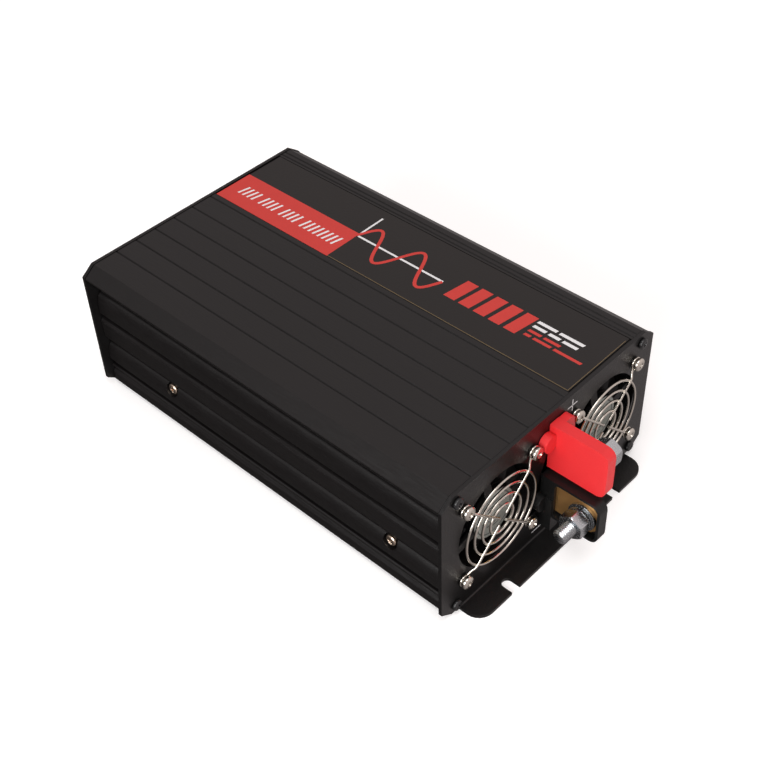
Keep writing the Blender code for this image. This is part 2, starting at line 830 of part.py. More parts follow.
def make_guard(name, side):
    """Four wire rings and four arms, each arm ending flat under a screw."""
    y, z = side * FAN_Y, FAN_Z
    ring_x = PLATE_FACE + GUARD_LIFT
    guard = None
    for radius in GUARD_RINGS:
        bpy.ops.mesh.primitive_torus_add(
            major_radius=radius,
            minor_radius=GUARD_WIRE,
            major_segments=20 + int(radius / MM / 2),
            minor_segments=6,
        )
        ring = bpy.context.object
        ring.data.transform(Matrix.Translation((ring_x, y, z)) @ TURN["X"])
        if guard is None:
            guard = place(ring, name, nickel())
        else:
            join(guard, place(ring, "ring", None, cutter=True))
    screw = FAN_HOLES / 2 * math.sqrt(2)
    arm_x = ring_x + GUARD_WIRE * 0.9
    foot_x = PLATE_FACE + GAP + GUARD_WIRE
    for turn in (45, 135, 225, 315):
        direction = Vector((0, math.cos(math.radians(turn)), math.sin(math.radians(turn))))
        middle = Vector((0, y, z))
        path = [
            middle + direction * GUARD_ARM_START + Vector((arm_x, 0, 0)),
            middle + direction * (GUARD_RINGS[-1] + 1.5 * MM) + Vector((arm_x, 0, 0)),
            middle + direction * (screw - 3.0 * MM) + Vector((foot_x, 0, 0)),
        ]
        join(guard, wire(path, GUARD_WIRE))
        bpy.ops.mesh.primitive_torus_add(
            major_radius=2.9 * MM, minor_radius=GUARD_WIRE, major_segments=14, minor_segments=6
        )
        eye = bpy.context.object
        eye_place = middle + direction * screw + Vector((foot_x, 0, 0))
        eye.data.transform(Matrix.Translation(eye_place) @ TURN["X"])
        join(guard, place(eye, "eye", None, cutter=True))
    return guard


def make_guard_screws(prefix, side):
    head_seat = PLATE_FACE + GAP + 2 * GUARD_WIRE + GAP
    for number, (y, z) in enumerate(fan_corners(side), start=1):
        make_screw(
            f"{prefix}_guard_screw_{number}",
            (head_seat, y, z),
            "X",
            1,
            3.7 * MM,
            2.5 * MM,
            1.75 * MM,
            14 * MM,
            nickel(),
        )


# ------------------------------------------------------------------- terminals
Tray = collections.namedtuple(
    "Tray", "rim z facing reach height floor boss_spacing boss_off_middle stud_x stud_reach"
)


def terminals():
    """The black tray, which opens towards -Y, and the red one, which opens towards +Y."""
    black = (TERMINAL_REACH, TERMINAL_HEIGHT, TERMINAL_FLOOR, BOSS_SPACING, BOSS_OFF_MIDDLE)
    red = (RED_REACH, RED_HEIGHT, RED_FLOOR, RED_BOSS_SPACING, RED_BOSS_OFF_MIDDLE)
    return (
        Tray(BLACK_RIM_Y, BLACK_Z, -1, *black, STUD_X, STUD_REACH),
        Tray(RED_RIM_Y, RED_Z, 1, *red, RED_STUD_X, RED_STUD_REACH),
    )


def red_shelf():
    """The red ear: a plate with round corners behind the bosses."""
    foot = PLATE_FACE + GAP
    outline = rounded(
        (RED_RIM_Y - TERMINAL_DEPTH + 0.2 * MM, RED_Z - 3 * MM),
        (RED_SHELF, RED_Z + RED_HEIGHT / 2 - 0.2 * MM),
        3 * MM,
    )
    return prism("ear", outline, "X", foot + 0.1 * MM, foot + EAR_WALL, cutter=True)


def black_foot():
    """The block under the root of the black tray."""
    low = BLACK_Z - TERMINAL_HEIGHT / 2 - BLACK_FOOT
    foot = PLATE_FACE + GAP
    return box(
        "foot",
        (foot + 0.1 * MM, BLACK_RIM_Y - 0.9 * MM, low),
        (foot + TERMINAL_ROOT - 0.4 * MM, BLACK_RIM_Y + TERMINAL_DEPTH - MM, BLACK_Z),
        cutter=True,
    )


def make_terminal(name, busbar_name, prefix, tray_sizes, finish, extra):
    """A tray standing out of the plate, with a busbar and its stud in it."""
    rim, z, facing = tray_sizes[:3]
    foot = PLATE_FACE + GAP
    tip = PLATE_FACE + tray_sizes.reach
    back = rim - facing * TERMINAL_DEPTH
    floor_y = back + facing * tray_sizes.floor
    half = tray_sizes.height / 2
    low_y, high_y = sorted((rim, back))
    outer = [(foot, z - half)]
    outer += arc((tip - TERMINAL_CORNER, z - half + TERMINAL_CORNER), TERMINAL_CORNER, -90, 0, 4)
    outer += arc((tip - TERMINAL_CORNER, z + half - TERMINAL_CORNER), TERMINAL_CORNER, 0, 90, 4)
    outer.append((foot, z + half))
    tray = prism(name, outer, "Y", low_y, high_y, finish)
    boss_z = z + facing * tray_sizes.boss_off_middle
    middle_y = (rim + back) / 2
    spacing = tray_sizes.boss_spacing
    bosses = [
        cylinder("boss", (foot, y, boss_z), "X", BOSS_REACH, BOSS_RADIUS, cutter=True)
        for y in (middle_y - spacing / 2, middle_y + spacing / 2)
    ]
    join(tray, *bosses, extra)
    wall = TERMINAL_WALL
    root = foot + TERMINAL_ROOT
    well = prism(
        "well",
        rounded((root, z - half + wall), (tip - wall, z + half - wall), 2.5 * MM, 3),
        "Y",
        *sorted((floor_y, rim + facing * MM)),
        cutter=True,
    )
    bar_y = floor_y + facing * (GAP + BUSBAR / 2)
    bar_half_z = BUSBAR_HEIGHT / 2
    passage = box(
        "passage",
        (foot - MM, bar_y - BUSBAR / 2 - GAP, z - bar_half_z - GAP),
        (root + MM, bar_y + BUSBAR / 2 + GAP, z + bar_half_z + GAP),
        cutter=True,
    )
    cut(tray, well, passage)
    bar_tip = tip - wall - MM
    inside = PLATE_BACK - BUSBAR_INSIDE
    cut_corner = 3 * MM
    bar_outline = [
        (inside, z - bar_half_z),
        (bar_tip - cut_corner, z - bar_half_z),
        (bar_tip, z - bar_half_z + cut_corner),
        (bar_tip, z + bar_half_z - cut_corner),
        (bar_tip - cut_corner, z + bar_half_z),
        (inside, z + bar_half_z),
    ]
    bar_low, bar_high = bar_y - BUSBAR / 2, bar_y + BUSBAR / 2
    bar = prism(busbar_name, bar_outline, "Y", bar_low, bar_high, brass())
    stud_x = PLATE_FACE + tray_sizes.stud_x
    cut(bar, hole((stud_x, bar_low - MM, z), "Y", BUSBAR + 2 * MM, STUD_RADIUS + BORE_PLAY))
    seat = (stud_x, bar_y + facing * BUSBAR / 2, z)
    make_stud_stack(prefix, seat, facing, floor_y, tray_sizes.stud_reach)
    return tray


def make_stud_stack(prefix, seat, facing, floor_y, stud_reach):
    """Stud, flat washer, spring washer and nut, outwards from the busbar."""
    x, y, z = seat
    start = floor_y + facing * GAP
    chamfer = 0.8 * MM
    reach = abs(y + facing * stud_reach - start)
    stud_profile = [
        (0, reach),
        (STUD_RADIUS - chamfer, reach),
        (STUD_RADIUS, reach - chamfer),
        (STUD_RADIUS, 0),
        (0, 0),
    ]
    stud = turned(f"{prefix}_stud", stud_profile, (0, 0, 0), "Z", zinc(), steps=20)
    move(stud, (x, start, z), "Y", facing)
    place_y = y + facing * GAP
    inner = STUD_RADIUS + BORE_PLAY
    for piece, thickness, radius in (
        ("flat_washer", WASHER, WASHER_RADIUS),
        ("spring_washer", SPRING_WASHER, SPRING_WASHER_RADIUS),
    ):
        profile = [(radius, thickness), (radius, 0), (inner, 0), (inner, thickness)]
        ring = turned(f"{prefix}_{piece}", profile, (0, 0, 0), "Z", zinc(), steps=24)
        move(ring, (x, place_y, z), "Y", facing)
        if piece == "spring_washer":
            low = Vector((x - 0.5 * MM, place_y - 5 * MM, z))
            high = Vector((x + 0.5 * MM, place_y + 5 * MM, z + radius + MM))
            cut(ring, box("split", low, high, cutter=True))
        place_y += facing * (thickness + GAP)
    corner = NUT_FLATS / math.sqrt(3)
    nut = cylinder(
        f"{prefix}_nut", (x, place_y, z), "Y", facing * NUT, corner, zinc(), sides=6
    )
    trim_profile = [
        (corner + 2 * MM, NUT + MM),
        (corner + 2 * MM, -MM),
        (corner + MM, -MM),
        (corner * 0.9, 0),
        (corner * 1.01, 0.8 * MM),
        (corner * 1.01, NUT - 0.8 * MM),
        (corner * 0.9, NUT),
        (corner + MM, NUT + MM),
    ]
    trim = turned("trim", trim_profile, (0, 0, 0), "Z", steps=24, cutter=True)
    move(trim, (x, place_y, z), "Y", facing)
    through = hole((x, place_y - facing * MM, z), "Y", facing * (NUT + 2 * MM), inner)
    return cut(nut, trim, through)


# ---------------------------------------------------------------------- AC end
def make_ac_socket(name, y):
    """A round-welled socket: a face on the plate and a body behind it."""
    face = -PLATE_FACE - GAP
    half = SOCKET_FACE / 2
    outline = rounded((y - half, SOCKET_Z - half), (y + half, SOCKET_Z + half), 5 * MM, 4)
    finish = material("socket_pc", (0.03, 0.03, 0.03), 0.35)
    socket = prism(name, outline, "X", face - 2.5 * MM, face, finish)
    body = cylinder(
        "socket_body",
        (face - MM, y, SOCKET_Z),
        "X",
        SOCKET_BODY_DEPTH,
        SOCKET_RADIUS,
        sides=32,
        cutter=True,
    )
    join(socket, body)
    well = hole((face - 4 * MM, y, SOCKET_Z), "X", SOCKET_WELL_DEPTH + 4 * MM, SOCKET_WELL, 32)
    cut(socket, well)
    for offset in (-PIN_PITCH / 2, PIN_PITCH / 2):
        pin = hole((face, y + offset, SOCKET_Z), "X", SOCKET_BODY_DEPTH + 4 * MM, PIN_HOLE, 12)
        cut(socket, pin)
    return socket


def make_switch():
    """The switch body clipped in the plate, and the rocker that tilts in it."""
    face = -PLATE_FACE - GAP
    half_y, half_z = SWITCH_WIDTH / 2, SWITCH_HEIGHT / 2
    finish = material("switch_pa66", (0.02, 0.02, 0.02), 0.35)
    outline = rounded(
        (PANEL_Y - half_y, SWITCH_Z - half_z), (PANEL_Y + half_y, SWITCH_Z + half_z), 1.2 * MM, 2
    )
    body = prism("switch_body", outline, "X", face - 1.8 * MM, face, finish)
    inner_y, inner_z = half_y - MM, half_z - MM
    join(
        body,
        box(
            "switch_case",
            (face - MM, PANEL_Y - inner_y, SWITCH_Z - inner_z),
            (face + SWITCH_DEPTH, PANEL_Y + inner_y, SWITCH_Z + inner_z),
            cutter=True,
        ),
    )
    mouth_y, mouth_z = inner_y - MM, inner_z - MM
    cut(
        body,
        box(
            "switch_mouth",
            (face - 4 * MM, PANEL_Y - mouth_y, SWITCH_Z - mouth_z),
            (face + 8 * MM, PANEL_Y + mouth_y, SWITCH_Z + mouth_z),
            cutter=True,
        ),
    )
    play = 0.3 * MM
    axis_x = face + 2 * MM
    # Seen along Y about its axis: a dished face, round ends that clear the mouth as
    # it tilts, and a keel behind. It's made lying in the "off" position.
    reach = mouth_z - play
    ends = [(reach * math.cos(a), reach * math.sin(a)) for a in map(math.radians, (129, 110, 92))]
    upper = [(-4.3 * MM, 0), *ends, (3 * MM, 3 * MM)]
    profile = upper + [(x, -z) for x, z in reversed(upper[1:])]
    off = Matrix.Rotation(math.radians(-ROCKER_ANGLE), 2)
    profile = [tuple(off @ Vector((x, -z))) for x, z in profile]
    profile = [(x, -z) for x, z in profile]
    rocker = prism(
        "switch_rocker",
        profile,
        "Y",
        -mouth_y + play + GAP,
        mouth_y - play - GAP,
        material("rocker_red", (0.55, 0.03, 0.03), 0.3),
    )
    rocker.location = (axis_x, PANEL_Y, SWITCH_Z)
    return rocker


def make_usb_port():
    face = -PLATE_FACE - GAP
    half_y, half_z = 6.6 * MM, 2.9 * MM
    shell = box(
        "usb_port",
        (face - 0.6 * MM, PANEL_Y - half_y, USB_Z - half_z),
        (face + 13 * MM, PANEL_Y + half_y, USB_Z + half_z),
        nickel(),
    )
    cut(
        shell,
        box(
            "usb_mouth",
            (face - 2 * MM, PANEL_Y - half_y + 0.5 * MM, USB_Z - half_z + 0.5 * MM),
            (face + 10 * MM, PANEL_Y + half_y - 0.5 * MM, USB_Z + half_z - 0.5 * MM),
            cutter=True,
        ),
        # leaves the tongue that carries the contacts
    )
    return join(
        shell,
        box(
            "usb_tongue",
            (face + 1 * MM, PANEL_Y - 5.0 * MM, USB_Z + 0.1 * MM),
            (face + 11 * MM, PANEL_Y + 5.0 * MM, USB_Z + 1.7 * MM),
            cutter=True,
        ),
    )


def led_places():
    return (PANEL_Y - LED_SPACING / 2, PANEL_Y + LED_SPACING / 2)


def make_lamps():
    colours = {"power_lamp": (0.05, 0.5, 0.1), "fault_lamp": (0.6, 0.05, 0.03)}
    for (name, colour), y in zip(colours.items(), led_places()):
        dome = [
            (LED_RADIUS * math.sin(math.radians(a)), LED_RADIUS * math.cos(math.radians(a)))
            for a in (0, 30, 60, 90)
        ]
        dome[0] = (0, LED_RADIUS)
        flange = LED_RADIUS + 0.5 * MM
        base = -PLATE - GAP - 1.0 * MM
        profile = [
            *dome,
            (LED_RADIUS, -PLATE - GAP),
            (flange, -PLATE - GAP),
            (flange, base - 3 * MM),
            (0, base - 3 * MM),
        ]
        lamp = turned(name, profile, (0, 0, 0), "Z", material(name, colour, 0.2), steps=16)
        move(lamp, (-PLATE_FACE, y, LED_Z), "X", -1)


def make_earth_terminal():
    """A hex-flanged screw through the AC plate."""
    corner = 4.0 * MM
    head = cylinder(
        "earth_terminal",
        (-PLATE_FACE - GAP, EARTH_Y, EARTH_Z),
        "X",
        -4 * MM,
        corner,
        zinc(),
        sides=6,
    )
    flange = cylinder(
        "washer", (-PLATE_FACE - GAP, EARTH_Y, EARTH_Z), "X", -1.2 * MM, 5.0 * MM, cutter=True
    )
    shank = cylinder(
        "shank",
        (-PLATE_FACE - 2 * MM, EARTH_Y, EARTH_Z),
        "X",
        9 * MM,
        2.0 * MM,
        sides=12,
        cutter=True,
    )
    return join(head, flange, shank)


# -------------------------------------------------------------------- internals
def make_boards():
    green = material("fr4_board", (0.02, 0.14, 0.06), 0.4)
    low_x, high_x = -98 * MM, 100 * MM
    board = box(
        "main_board",
        (low_x, -BOARD_EDGE, BOARD_Z),
        (high_x, BOARD_EDGE, BOARD_Z + BOARD),
        green,
    )
    stand = 5 * MM
    for x in (low_x + stand, high_x - stand):
        for y in (-BOARD_EDGE + stand, BOARD_EDGE - stand):
            leg = cylinder(
                "board_leg",
                (x, y, FLOOR_TOP + GAP),
                "Z",
                BOARD_Z - FLOOR_TOP,
                2.5 * MM,
                sides=12,
                cutter=True,
            )
            join(board, leg)
    foot = BOARD_Z + BOARD + GAP
    box("control_board", (-60 * MM, -2 * MM, foot), (10 * MM, -2 * MM + BOARD, 48 * MM), green)


def make_clamp_bar(name, sign):
    """The bar that presses the power transistors to a side wall."""
    outside = INSIDE_Y - GAP
    low, high = sorted((sign * outside, sign * (outside - CLAMP_BAR)))
    half = CLAMP_BAR_HEIGHT / 2
    bar = box(
        name,
        (-90 * MM, low, SIDE_SCREW_Z - half),
        (100 * MM, high, SIDE_SCREW_Z + half),
        material("plain_aluminium", (0.6, 0.6, 0.6), 0.4, 1.0),
    )
    for x in SIDE_SCREW_X:
        start = (x, sign * (outside - CLAMP_BAR - MM), SIDE_SCREW_Z)
        cut(bar, hole(start, "Y", sign * (CLAMP_BAR + 2 * MM), 1.5 * MM + BORE_PLAY, 12))
    return bar


def make_transformer(name, x):
    """A ferrite core with its winding bulging on both sides."""
    foot = BOARD_Z + BOARD + GAP
    middle_y = -34 * MM
    core = box(
        name,
        (x - 14 * MM, middle_y - 20 * MM, foot),
        (x + 14 * MM, middle_y + 20 * MM, foot + 34 * MM),
        material("ferrite", (0.05, 0.05, 0.055), 0.6),
    )
    winding = cylinder(
        "winding",
        (x, middle_y, foot + 4 * MM),
        "Z",
        26 * MM,
        18 * MM,
        sides=24,
        cutter=True,
    )
    return join(core, winding)


def make_capacitor(name, x, y, radius, height):
    profile = [
        (0, height),
        (radius - MM, height),
        (radius, height - MM),
        (radius, 4 * MM),
        (radius - 0.8 * MM, 3.2 * MM),
        (radius, 2.4 * MM),
        (radius, 0),
        (0, 0),
    ]
    return turned(
        name,
        profile,
        (x, y, BOARD_Z + BOARD + GAP),
        "Z",
        material("capacitor_sleeve", (0.03, 0.05, 0.16), 0.35),
        steps=20,
    )


def make_choke():
    bpy.ops.mesh.primitive_torus_add(
        major_radius=14 * MM,
        minor_radius=7 * MM,
        major_segments=20,
        minor_segments=10,
        location=(-72 * MM, 34 * MM, BOARD_Z + BOARD + GAP + 7 * MM),
    )
    choke = apply_transform(bpy.context.object)
    return place(choke, "output_choke", material("enamelled_copper", (0.5, 0.2, 0.08), 0.35, 1.0))


# ------------------------------------------------------------------------ build
def recentre():
    """Moves the object so that its box is centred on X, terminals and flanges in."""
    off_centre = (TERMINAL_REACH - FLANGE_REACH) / 2
    for obj in bpy.data.objects:
        obj.location.x -= off_centre


def main():
    clear_scene()
    make_top_cover()
    make_label()
    make_lower_housing()
    make_dc_end_plate()
    make_ac_end_plate()
    make_corner_screws()
    make_side_screws()
    for side, prefix in ((-1, "left"), (1, "right")):
        make_fan_frame(f"{prefix}_fan_frame", side)
        make_fan_rotor(f"{prefix}_fan_rotor", side)
        make_guard(f"{prefix}_fan_guard", side)
        make_guard_screws(prefix, side)
    red = material("red_abs", (0.75, 0.05, 0.05), 0.4)
    kinds = (("negative", black_plastic(), black_foot()), ("positive", red, red_shelf()))
    for (prefix, finish, extra), tray_sizes in zip(kinds, terminals()):
        names = (f"{prefix}_housing", f"{prefix}_busbar", prefix)
        make_terminal(*names, tray_sizes, finish, extra)
    for number, y in enumerate(SOCKET_Y, start=1):
        make_ac_socket(f"ac_socket_{number}", y)
    make_switch()
    make_usb_port()
    make_lamps()
    make_earth_terminal()
    make_boards()
    make_clamp_bar("left_clamp_bar", -1)
    make_clamp_bar("right_clamp_bar", 1)
    make_transformer("transformer_1", 72 * MM)
    make_transformer("transformer_2", 30 * MM)
    make_capacitor("bus_capacitor_1", -40 * MM, 40 * MM, 11 * MM, 40 * MM)
    make_capacitor("bus_capacitor_2", -14 * MM, 40 * MM, 11 * MM, 40 * MM)
    make_choke()
    recentre()


main()
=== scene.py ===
"""Detailed pieces and finishes for a DC to AC power inverter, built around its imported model."""

import json
import math

import bpy
from bpy.props import FloatProperty, FloatVectorProperty, IntProperty, PointerProperty
from bpy.types import Operator, Panel, PropertyGroup
from mathutils import Matrix, Vector

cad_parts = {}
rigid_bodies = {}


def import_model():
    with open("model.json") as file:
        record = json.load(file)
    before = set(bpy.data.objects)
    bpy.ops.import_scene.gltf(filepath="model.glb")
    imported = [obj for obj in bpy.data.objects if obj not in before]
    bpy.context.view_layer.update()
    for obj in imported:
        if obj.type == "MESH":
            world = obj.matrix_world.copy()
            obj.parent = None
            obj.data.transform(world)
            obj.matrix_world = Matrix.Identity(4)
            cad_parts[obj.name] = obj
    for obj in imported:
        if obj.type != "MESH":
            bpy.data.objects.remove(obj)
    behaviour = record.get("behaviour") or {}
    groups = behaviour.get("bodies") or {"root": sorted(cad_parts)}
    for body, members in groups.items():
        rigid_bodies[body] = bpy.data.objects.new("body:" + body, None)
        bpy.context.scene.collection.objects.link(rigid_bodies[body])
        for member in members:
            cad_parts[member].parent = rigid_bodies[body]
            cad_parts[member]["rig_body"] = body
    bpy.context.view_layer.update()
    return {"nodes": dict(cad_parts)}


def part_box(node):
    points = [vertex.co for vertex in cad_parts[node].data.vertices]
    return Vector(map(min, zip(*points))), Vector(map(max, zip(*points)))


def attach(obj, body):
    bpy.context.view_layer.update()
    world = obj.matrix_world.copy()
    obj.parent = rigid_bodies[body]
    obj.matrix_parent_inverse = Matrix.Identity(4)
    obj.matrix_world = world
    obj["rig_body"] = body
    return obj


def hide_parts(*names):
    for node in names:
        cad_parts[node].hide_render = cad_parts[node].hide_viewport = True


bl_info = {
    "name": "Power Inverter",
    "version": (1, 0, 0),
    "blender": (4, 5, 0),
    "location": "3D View > Sidebar > Inverter",
    "description": "Pieces and finishes of a fan-cooled DC to AC power inverter",
    "category": "Object",
}

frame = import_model()
NODES = frame["nodes"]

MM = 0.001
SIDES = ("left", "right")
PLATE_THICKNESS = 2.0 * MM
SCREWS_PER_SET = 4  # on each end plate and each fan guard

# The studio, in metres and watts: each softbox's name, place, aim, width and power.
SOFTBOXES = (
    ("front_softbox", (0.35, -1.4, 0.6), (0.0, 0.0, 0.05), 1.0, 19.0),
    ("side_softbox", (-0.9, -1.15, 0.85), (0.0, 0.0, 0.05), 0.9, 0.5),
    ("overhead_softbox", (0.35, -0.3, 1.5), (0.0, 0.0, 0.0), 0.9, 9.0),
)
FLOOR_WIDTH = 12
FLOOR_GLOW = 0.3
STUDIO_TINT = (1.0, 0.9, 0.89, 1.0)
BRIGHT_WAY = (0.63, 0.49, 0.61)
DIMMEST, BRIGHTEST = 0.05, 0.76
CAMERA_TARGET = Vector((-11.0, 16.99, 10.57)) * MM
LENS_MM, SENSOR_MM = 61.3, 36.0
NEAREST_SEEN = 10 * MM

# The label's print, in millimetres from its middle: left, right, near and far.
BANNER = (-127, -37, 14.2, 40.3)
UPRIGHT_AXIS = (-37.3, -36.1, 39.2, 59)
LEVEL_AXIS = (-36.1, 26, 37.7, 39)
BORDER_ALONG = (-37, 126.2, 14.6, 14.9)
BORDER_END = (125.9, 126.2, 14.9, 62.5)
FINE_BARS_START = 84


# ------------------------------------------------------------------- properties
def linear(hex_colour):
    """An sRGB hex colour as linear red, green and blue."""
    parts = [int(hex_colour[i : i + 2], 16) / 255 for i in (1, 3, 5)]
    return tuple(c / 12.92 if c <= 0.04045 else ((c + 0.055) / 1.055) ** 2.4 for c in parts)


def size(name, description, millimetres):
    return FloatProperty(
        name=name,
        description=description,
        default=millimetres * MM,
        unit="LENGTH",
        subtype="DISTANCE",
        precision=5,
    )


def turn(name, description, degrees):
    return FloatProperty(
        name=name,
        description=description,
        default=math.radians(degrees),
        unit="ROTATION",
        subtype="ANGLE",
    )


def colour(name, description, hex_colour):
    return FloatVectorProperty(
        name=name,
        description=description,
        default=linear(hex_colour),
        subtype="COLOR",
        size=3,
        min=0.0,
        max=1.0,
    )


class InverterSizes(PropertyGroup):
    sheet_edge: size("Sheet edge", "Broken edge of the sheet-metal end plates", 0.35)
    extrusion_edge: size("Extrusion edge", "Broken edge of the extruded case", 0.22)
    moulded_edge: size("Moulded edge", "Rounded edge of the moulded terminal trays", 0.9)
    small_edge: size("Small edge", "Broken edge of small hardware", 0.25)
    guard_wire: size("Guard wire", "Radius of the fan guards' wire", 0.72)
    guard_hub_ring: size("Guard hub ring", "Radius of a guard's smallest ring", 8.5)
    guard_ring_step: size("Guard ring step", "From one ring of a guard to the next", 5.77)
    guard_arm_start: size("Guard arm start", "From a guard's middle to its arms' ends", 3.5)
    guard_rings: IntProperty(
        name="Guard rings", description="Rings in each fan guard", default=4, min=1, max=8
    )
    guard_eye: size("Guard eye", "Radius of the loop that a guard screw holds", 2.9)
    fan_holes: size("Fan holes", "Square that the fan's four screws stand on", 50)
    fan_hub: size("Fan hub", "Radius of the fan's hub", 15.5)
    fan_blades: IntProperty(
        name="Fan blades", description="Blades on each fan", default=7, min=3, max=11
    )
    fan_sticker: size("Fan sticker", "Radius of the sticker on the fan's motor", 14.3)
    guard_screw_head: size("Guard screw head", "Radius of a guard screw's head", 3.7)
    side_screw_head: size("Side screw head", "Radius of a side screw's head", 3.4)
    plate_screw_head: size("Plate screw head", "Radius of an end plate screw's head", 3.1)
    stud_radius: size("Stud radius", "Radius of the terminal studs over their thread", 4)
    thread_pitch: size("Thread pitch", "Pitch of the terminal studs' thread", 1.25)
    thread_depth: size("Thread depth", "Depth of the terminal studs' thread", 0.62)
    print_lift: size("Print lift", "How far the printed inks stand on the label", 0.03)
    wave_height: size("Wave height", "Half the height of the printed sine wave", 12)
    wave_length: size("Wave length", "Length of one period of the printed wave", 31.5)
    wave_stroke: size("Wave stroke", "Width of the printed wave's line", 2.0)
    camera_turn: turn("Camera turn", "Camera's angle about the upright axis", 44.63)
    camera_rise: turn("Camera rise", "Camera's angle above the floor", 43.12)
    camera_roll: turn("Camera roll", "Camera's tilt about its own view", -2.449)
    camera_distance: size("Camera distance", "From the camera to what it aims at", 746.2)


class InverterColours(PropertyGroup):
    anodising: colour("Anodising", "Case's black anodised aluminium", "#0E0C0C")
    powder: colour("Powder coat", "End plates' black powder coat", "#0C0B0B")
    label_film: colour("Label film", "Ground of the printed label", "#100C0A")
    label_red: colour("Label red", "Red ink of the label", "#BE332C")
    label_white: colour("Label white", "White ink of the label", "#DADADA")
    label_gold: colour("Label gold", "Fine border line of the label", "#6E5C3C")
    red_plastic: colour("Red plastic", "Positive terminal's tray", "#D8272B")
    black_plastic: colour("Black plastic", "Fans, black tray and sockets", "#0F0F0F")
    nickel: colour("Nickel", "Guards and their screws", "#D8D2C8")
    copper_nickel: colour("Side screws", "Warm plating of the side screws", "#E3D0BC")
    zinc: colour("Zinc plate", "Studs, nuts and washers", "#C3C7CA")
    brass: colour("Brass", "Busbars", "#E0AE70")
    floor: colour("Floor", "Pale studio floor", "#F2F2F1")


# ---------------------------------------------------------------------- materials
def add_node(tree, kind, settings=None, links=None):
    """Adds a shader node, sets its sockets or properties, and links into it."""
    made = tree.nodes.new(kind)
    for key, value in (settings or {}).items():
        if isinstance(key, int) or key in made.inputs:
            made.inputs[key].default_value = value
        else:
            setattr(made, key, value)
    for key, socket in (links or {}).items():
        tree.links.new(socket, made.inputs[key])
    return made


def shade_of(tint, amount):
    """A colour made lighter, or darker for a negative amount."""
    return (*[min(1.0, max(0.0, part * (1 + amount))) for part in tint], 1.0)


def surface(
    name,
    tint,
    roughness,
    metallic=0.0,
    cloud_mm=9.0,
    cloud=0.12,
    grain_mm=0.7,
    gloss_spread=0.05,
    relief=0.1,
    stretch=(1.0, 1.0, 1.0),
    fixed=None,
):
    """A finish whose colour clouds over cloud_mm and whose gloss and relief vary over grain_mm.

    fixed holds sockets of the shader that are the same all over the surface.
    """
    found = bpy.data.materials.get(name)
    if found:
        return found
    made = bpy.data.materials.new(name)
    made.use_nodes = True
    tree = made.node_tree
    shader = tree.nodes["Principled BSDF"]
    shader.inputs["Metallic"].default_value = metallic
    for socket, value in (fixed or {}).items():
        shader.inputs[socket].default_value = value
    place = add_node(tree, "ShaderNodeTexCoord").outputs["Object"]
    along = add_node(tree, "ShaderNodeMapping", {"Scale": stretch}, {"Vector": place})
    place = along.outputs["Vector"]
    clouds = add_node(
        tree, "ShaderNodeTexNoise", {"Scale": 1 / (cloud_mm * MM), "Detail": 3.0}, {"Vector": place}
    )
    grains = add_node(
        tree, "ShaderNodeTexNoise", {"Scale": 1 / (grain_mm * MM), "Detail": 2.0}, {"Vector": place}
    )
    mixed = add_node(
        tree,
        "ShaderNodeMix",
        {"data_type": "RGBA", 6: shade_of(tint, -cloud), 7: shade_of(tint, cloud)},
        {0: clouds.outputs["Fac"]},
    )
    gloss = add_node(
        tree,
        "ShaderNodeMapRange",
        {
            "From Min": 0.3,
            "From Max": 0.7,
            "To Min": max(0.02, roughness - gloss_spread),
            "To Max": min(1.0, roughness + gloss_spread),
        },
        {"Value": grains.outputs["Fac"]},
    )
    bump = add_node(
        tree,
        "ShaderNodeBump",
        {"Strength": relief, "Distance": grain_mm * MM},
        {"Height": grains.outputs["Fac"]},
    )
    tree.links.new(mixed.outputs[2], shader.inputs["Base Color"])
    tree.links.new(gloss.outputs["Result"], shader.inputs["Roughness"])
    tree.links.new(bump.outputs["Normal"], shader.inputs["Normal"])
    return made


def hues():
    return bpy.context.scene.inverter_colours


def sizes():
    return bpy.context.scene.inverter_sizes


def anodised_aluminium():
    # Etched before anodising: a soft satin with drawing marks along the extrusion.
    return surface(
        "anodised_case_extrusion",
        hues().anodising,
        0.36,
        cloud_mm=14,
        cloud=0.16,
        grain_mm=0.8,
        gloss_spread=0.06,
        relief=0.08,
        stretch=(0.08, 1.0, 1.0),
    )


def powder_coat():
    # Baked powder: a fine orange peel that spreads the lights into a soft sheen.
    return surface(
        "powder_coated_sheet",
        hues().powder,
        0.36,
        cloud_mm=20,
        cloud=0.1,
        grain_mm=0.9,
        gloss_spread=0.05,
        relief=0.16,
    )


def label_film():
    # Polyester film printed on its back: smooth, even and slightly glossy.
    return surface(
        "printed_polyester_film",
        hues().label_film,
        0.34,
        cloud_mm=30,
        cloud=0.06,
        grain_mm=1.5,
        gloss_spread=0.03,
        relief=0.03,
    )


def ink(name, tint):
    # Screen-printed ink: opaque, a little rougher than the film that it lies on.
    return surface(
        name, tint, 0.45, cloud_mm=6, cloud=0.05, grain_mm=0.6, gloss_spread=0.05, relief=0.05
    )


def red_pvc():
    # Moulded on an eroded tool: an even matt skin with light glowing through thin walls.
    return surface(
        "moulded_red_pvc",
        hues().red_plastic,
        0.46,
        cloud_mm=12,
        cloud=0.05,
        grain_mm=0.7,
        gloss_spread=0.06,
        relief=0.08,
        fixed={"Subsurface Weight": 0.06, "Subsurface Scale": 0.002},
    )


def black_abs():
    # The same tool finish in black: the highlights are broad and dim.
    return surface(
        "moulded_black_abs",
        hues().black_plastic,
        0.42,
        cloud_mm=10,
        cloud=0.12,
        grain_mm=0.7,
        gloss_spread=0.07,
        relief=0.1,
        fixed={"Specular IOR Level": 0.35},
    )


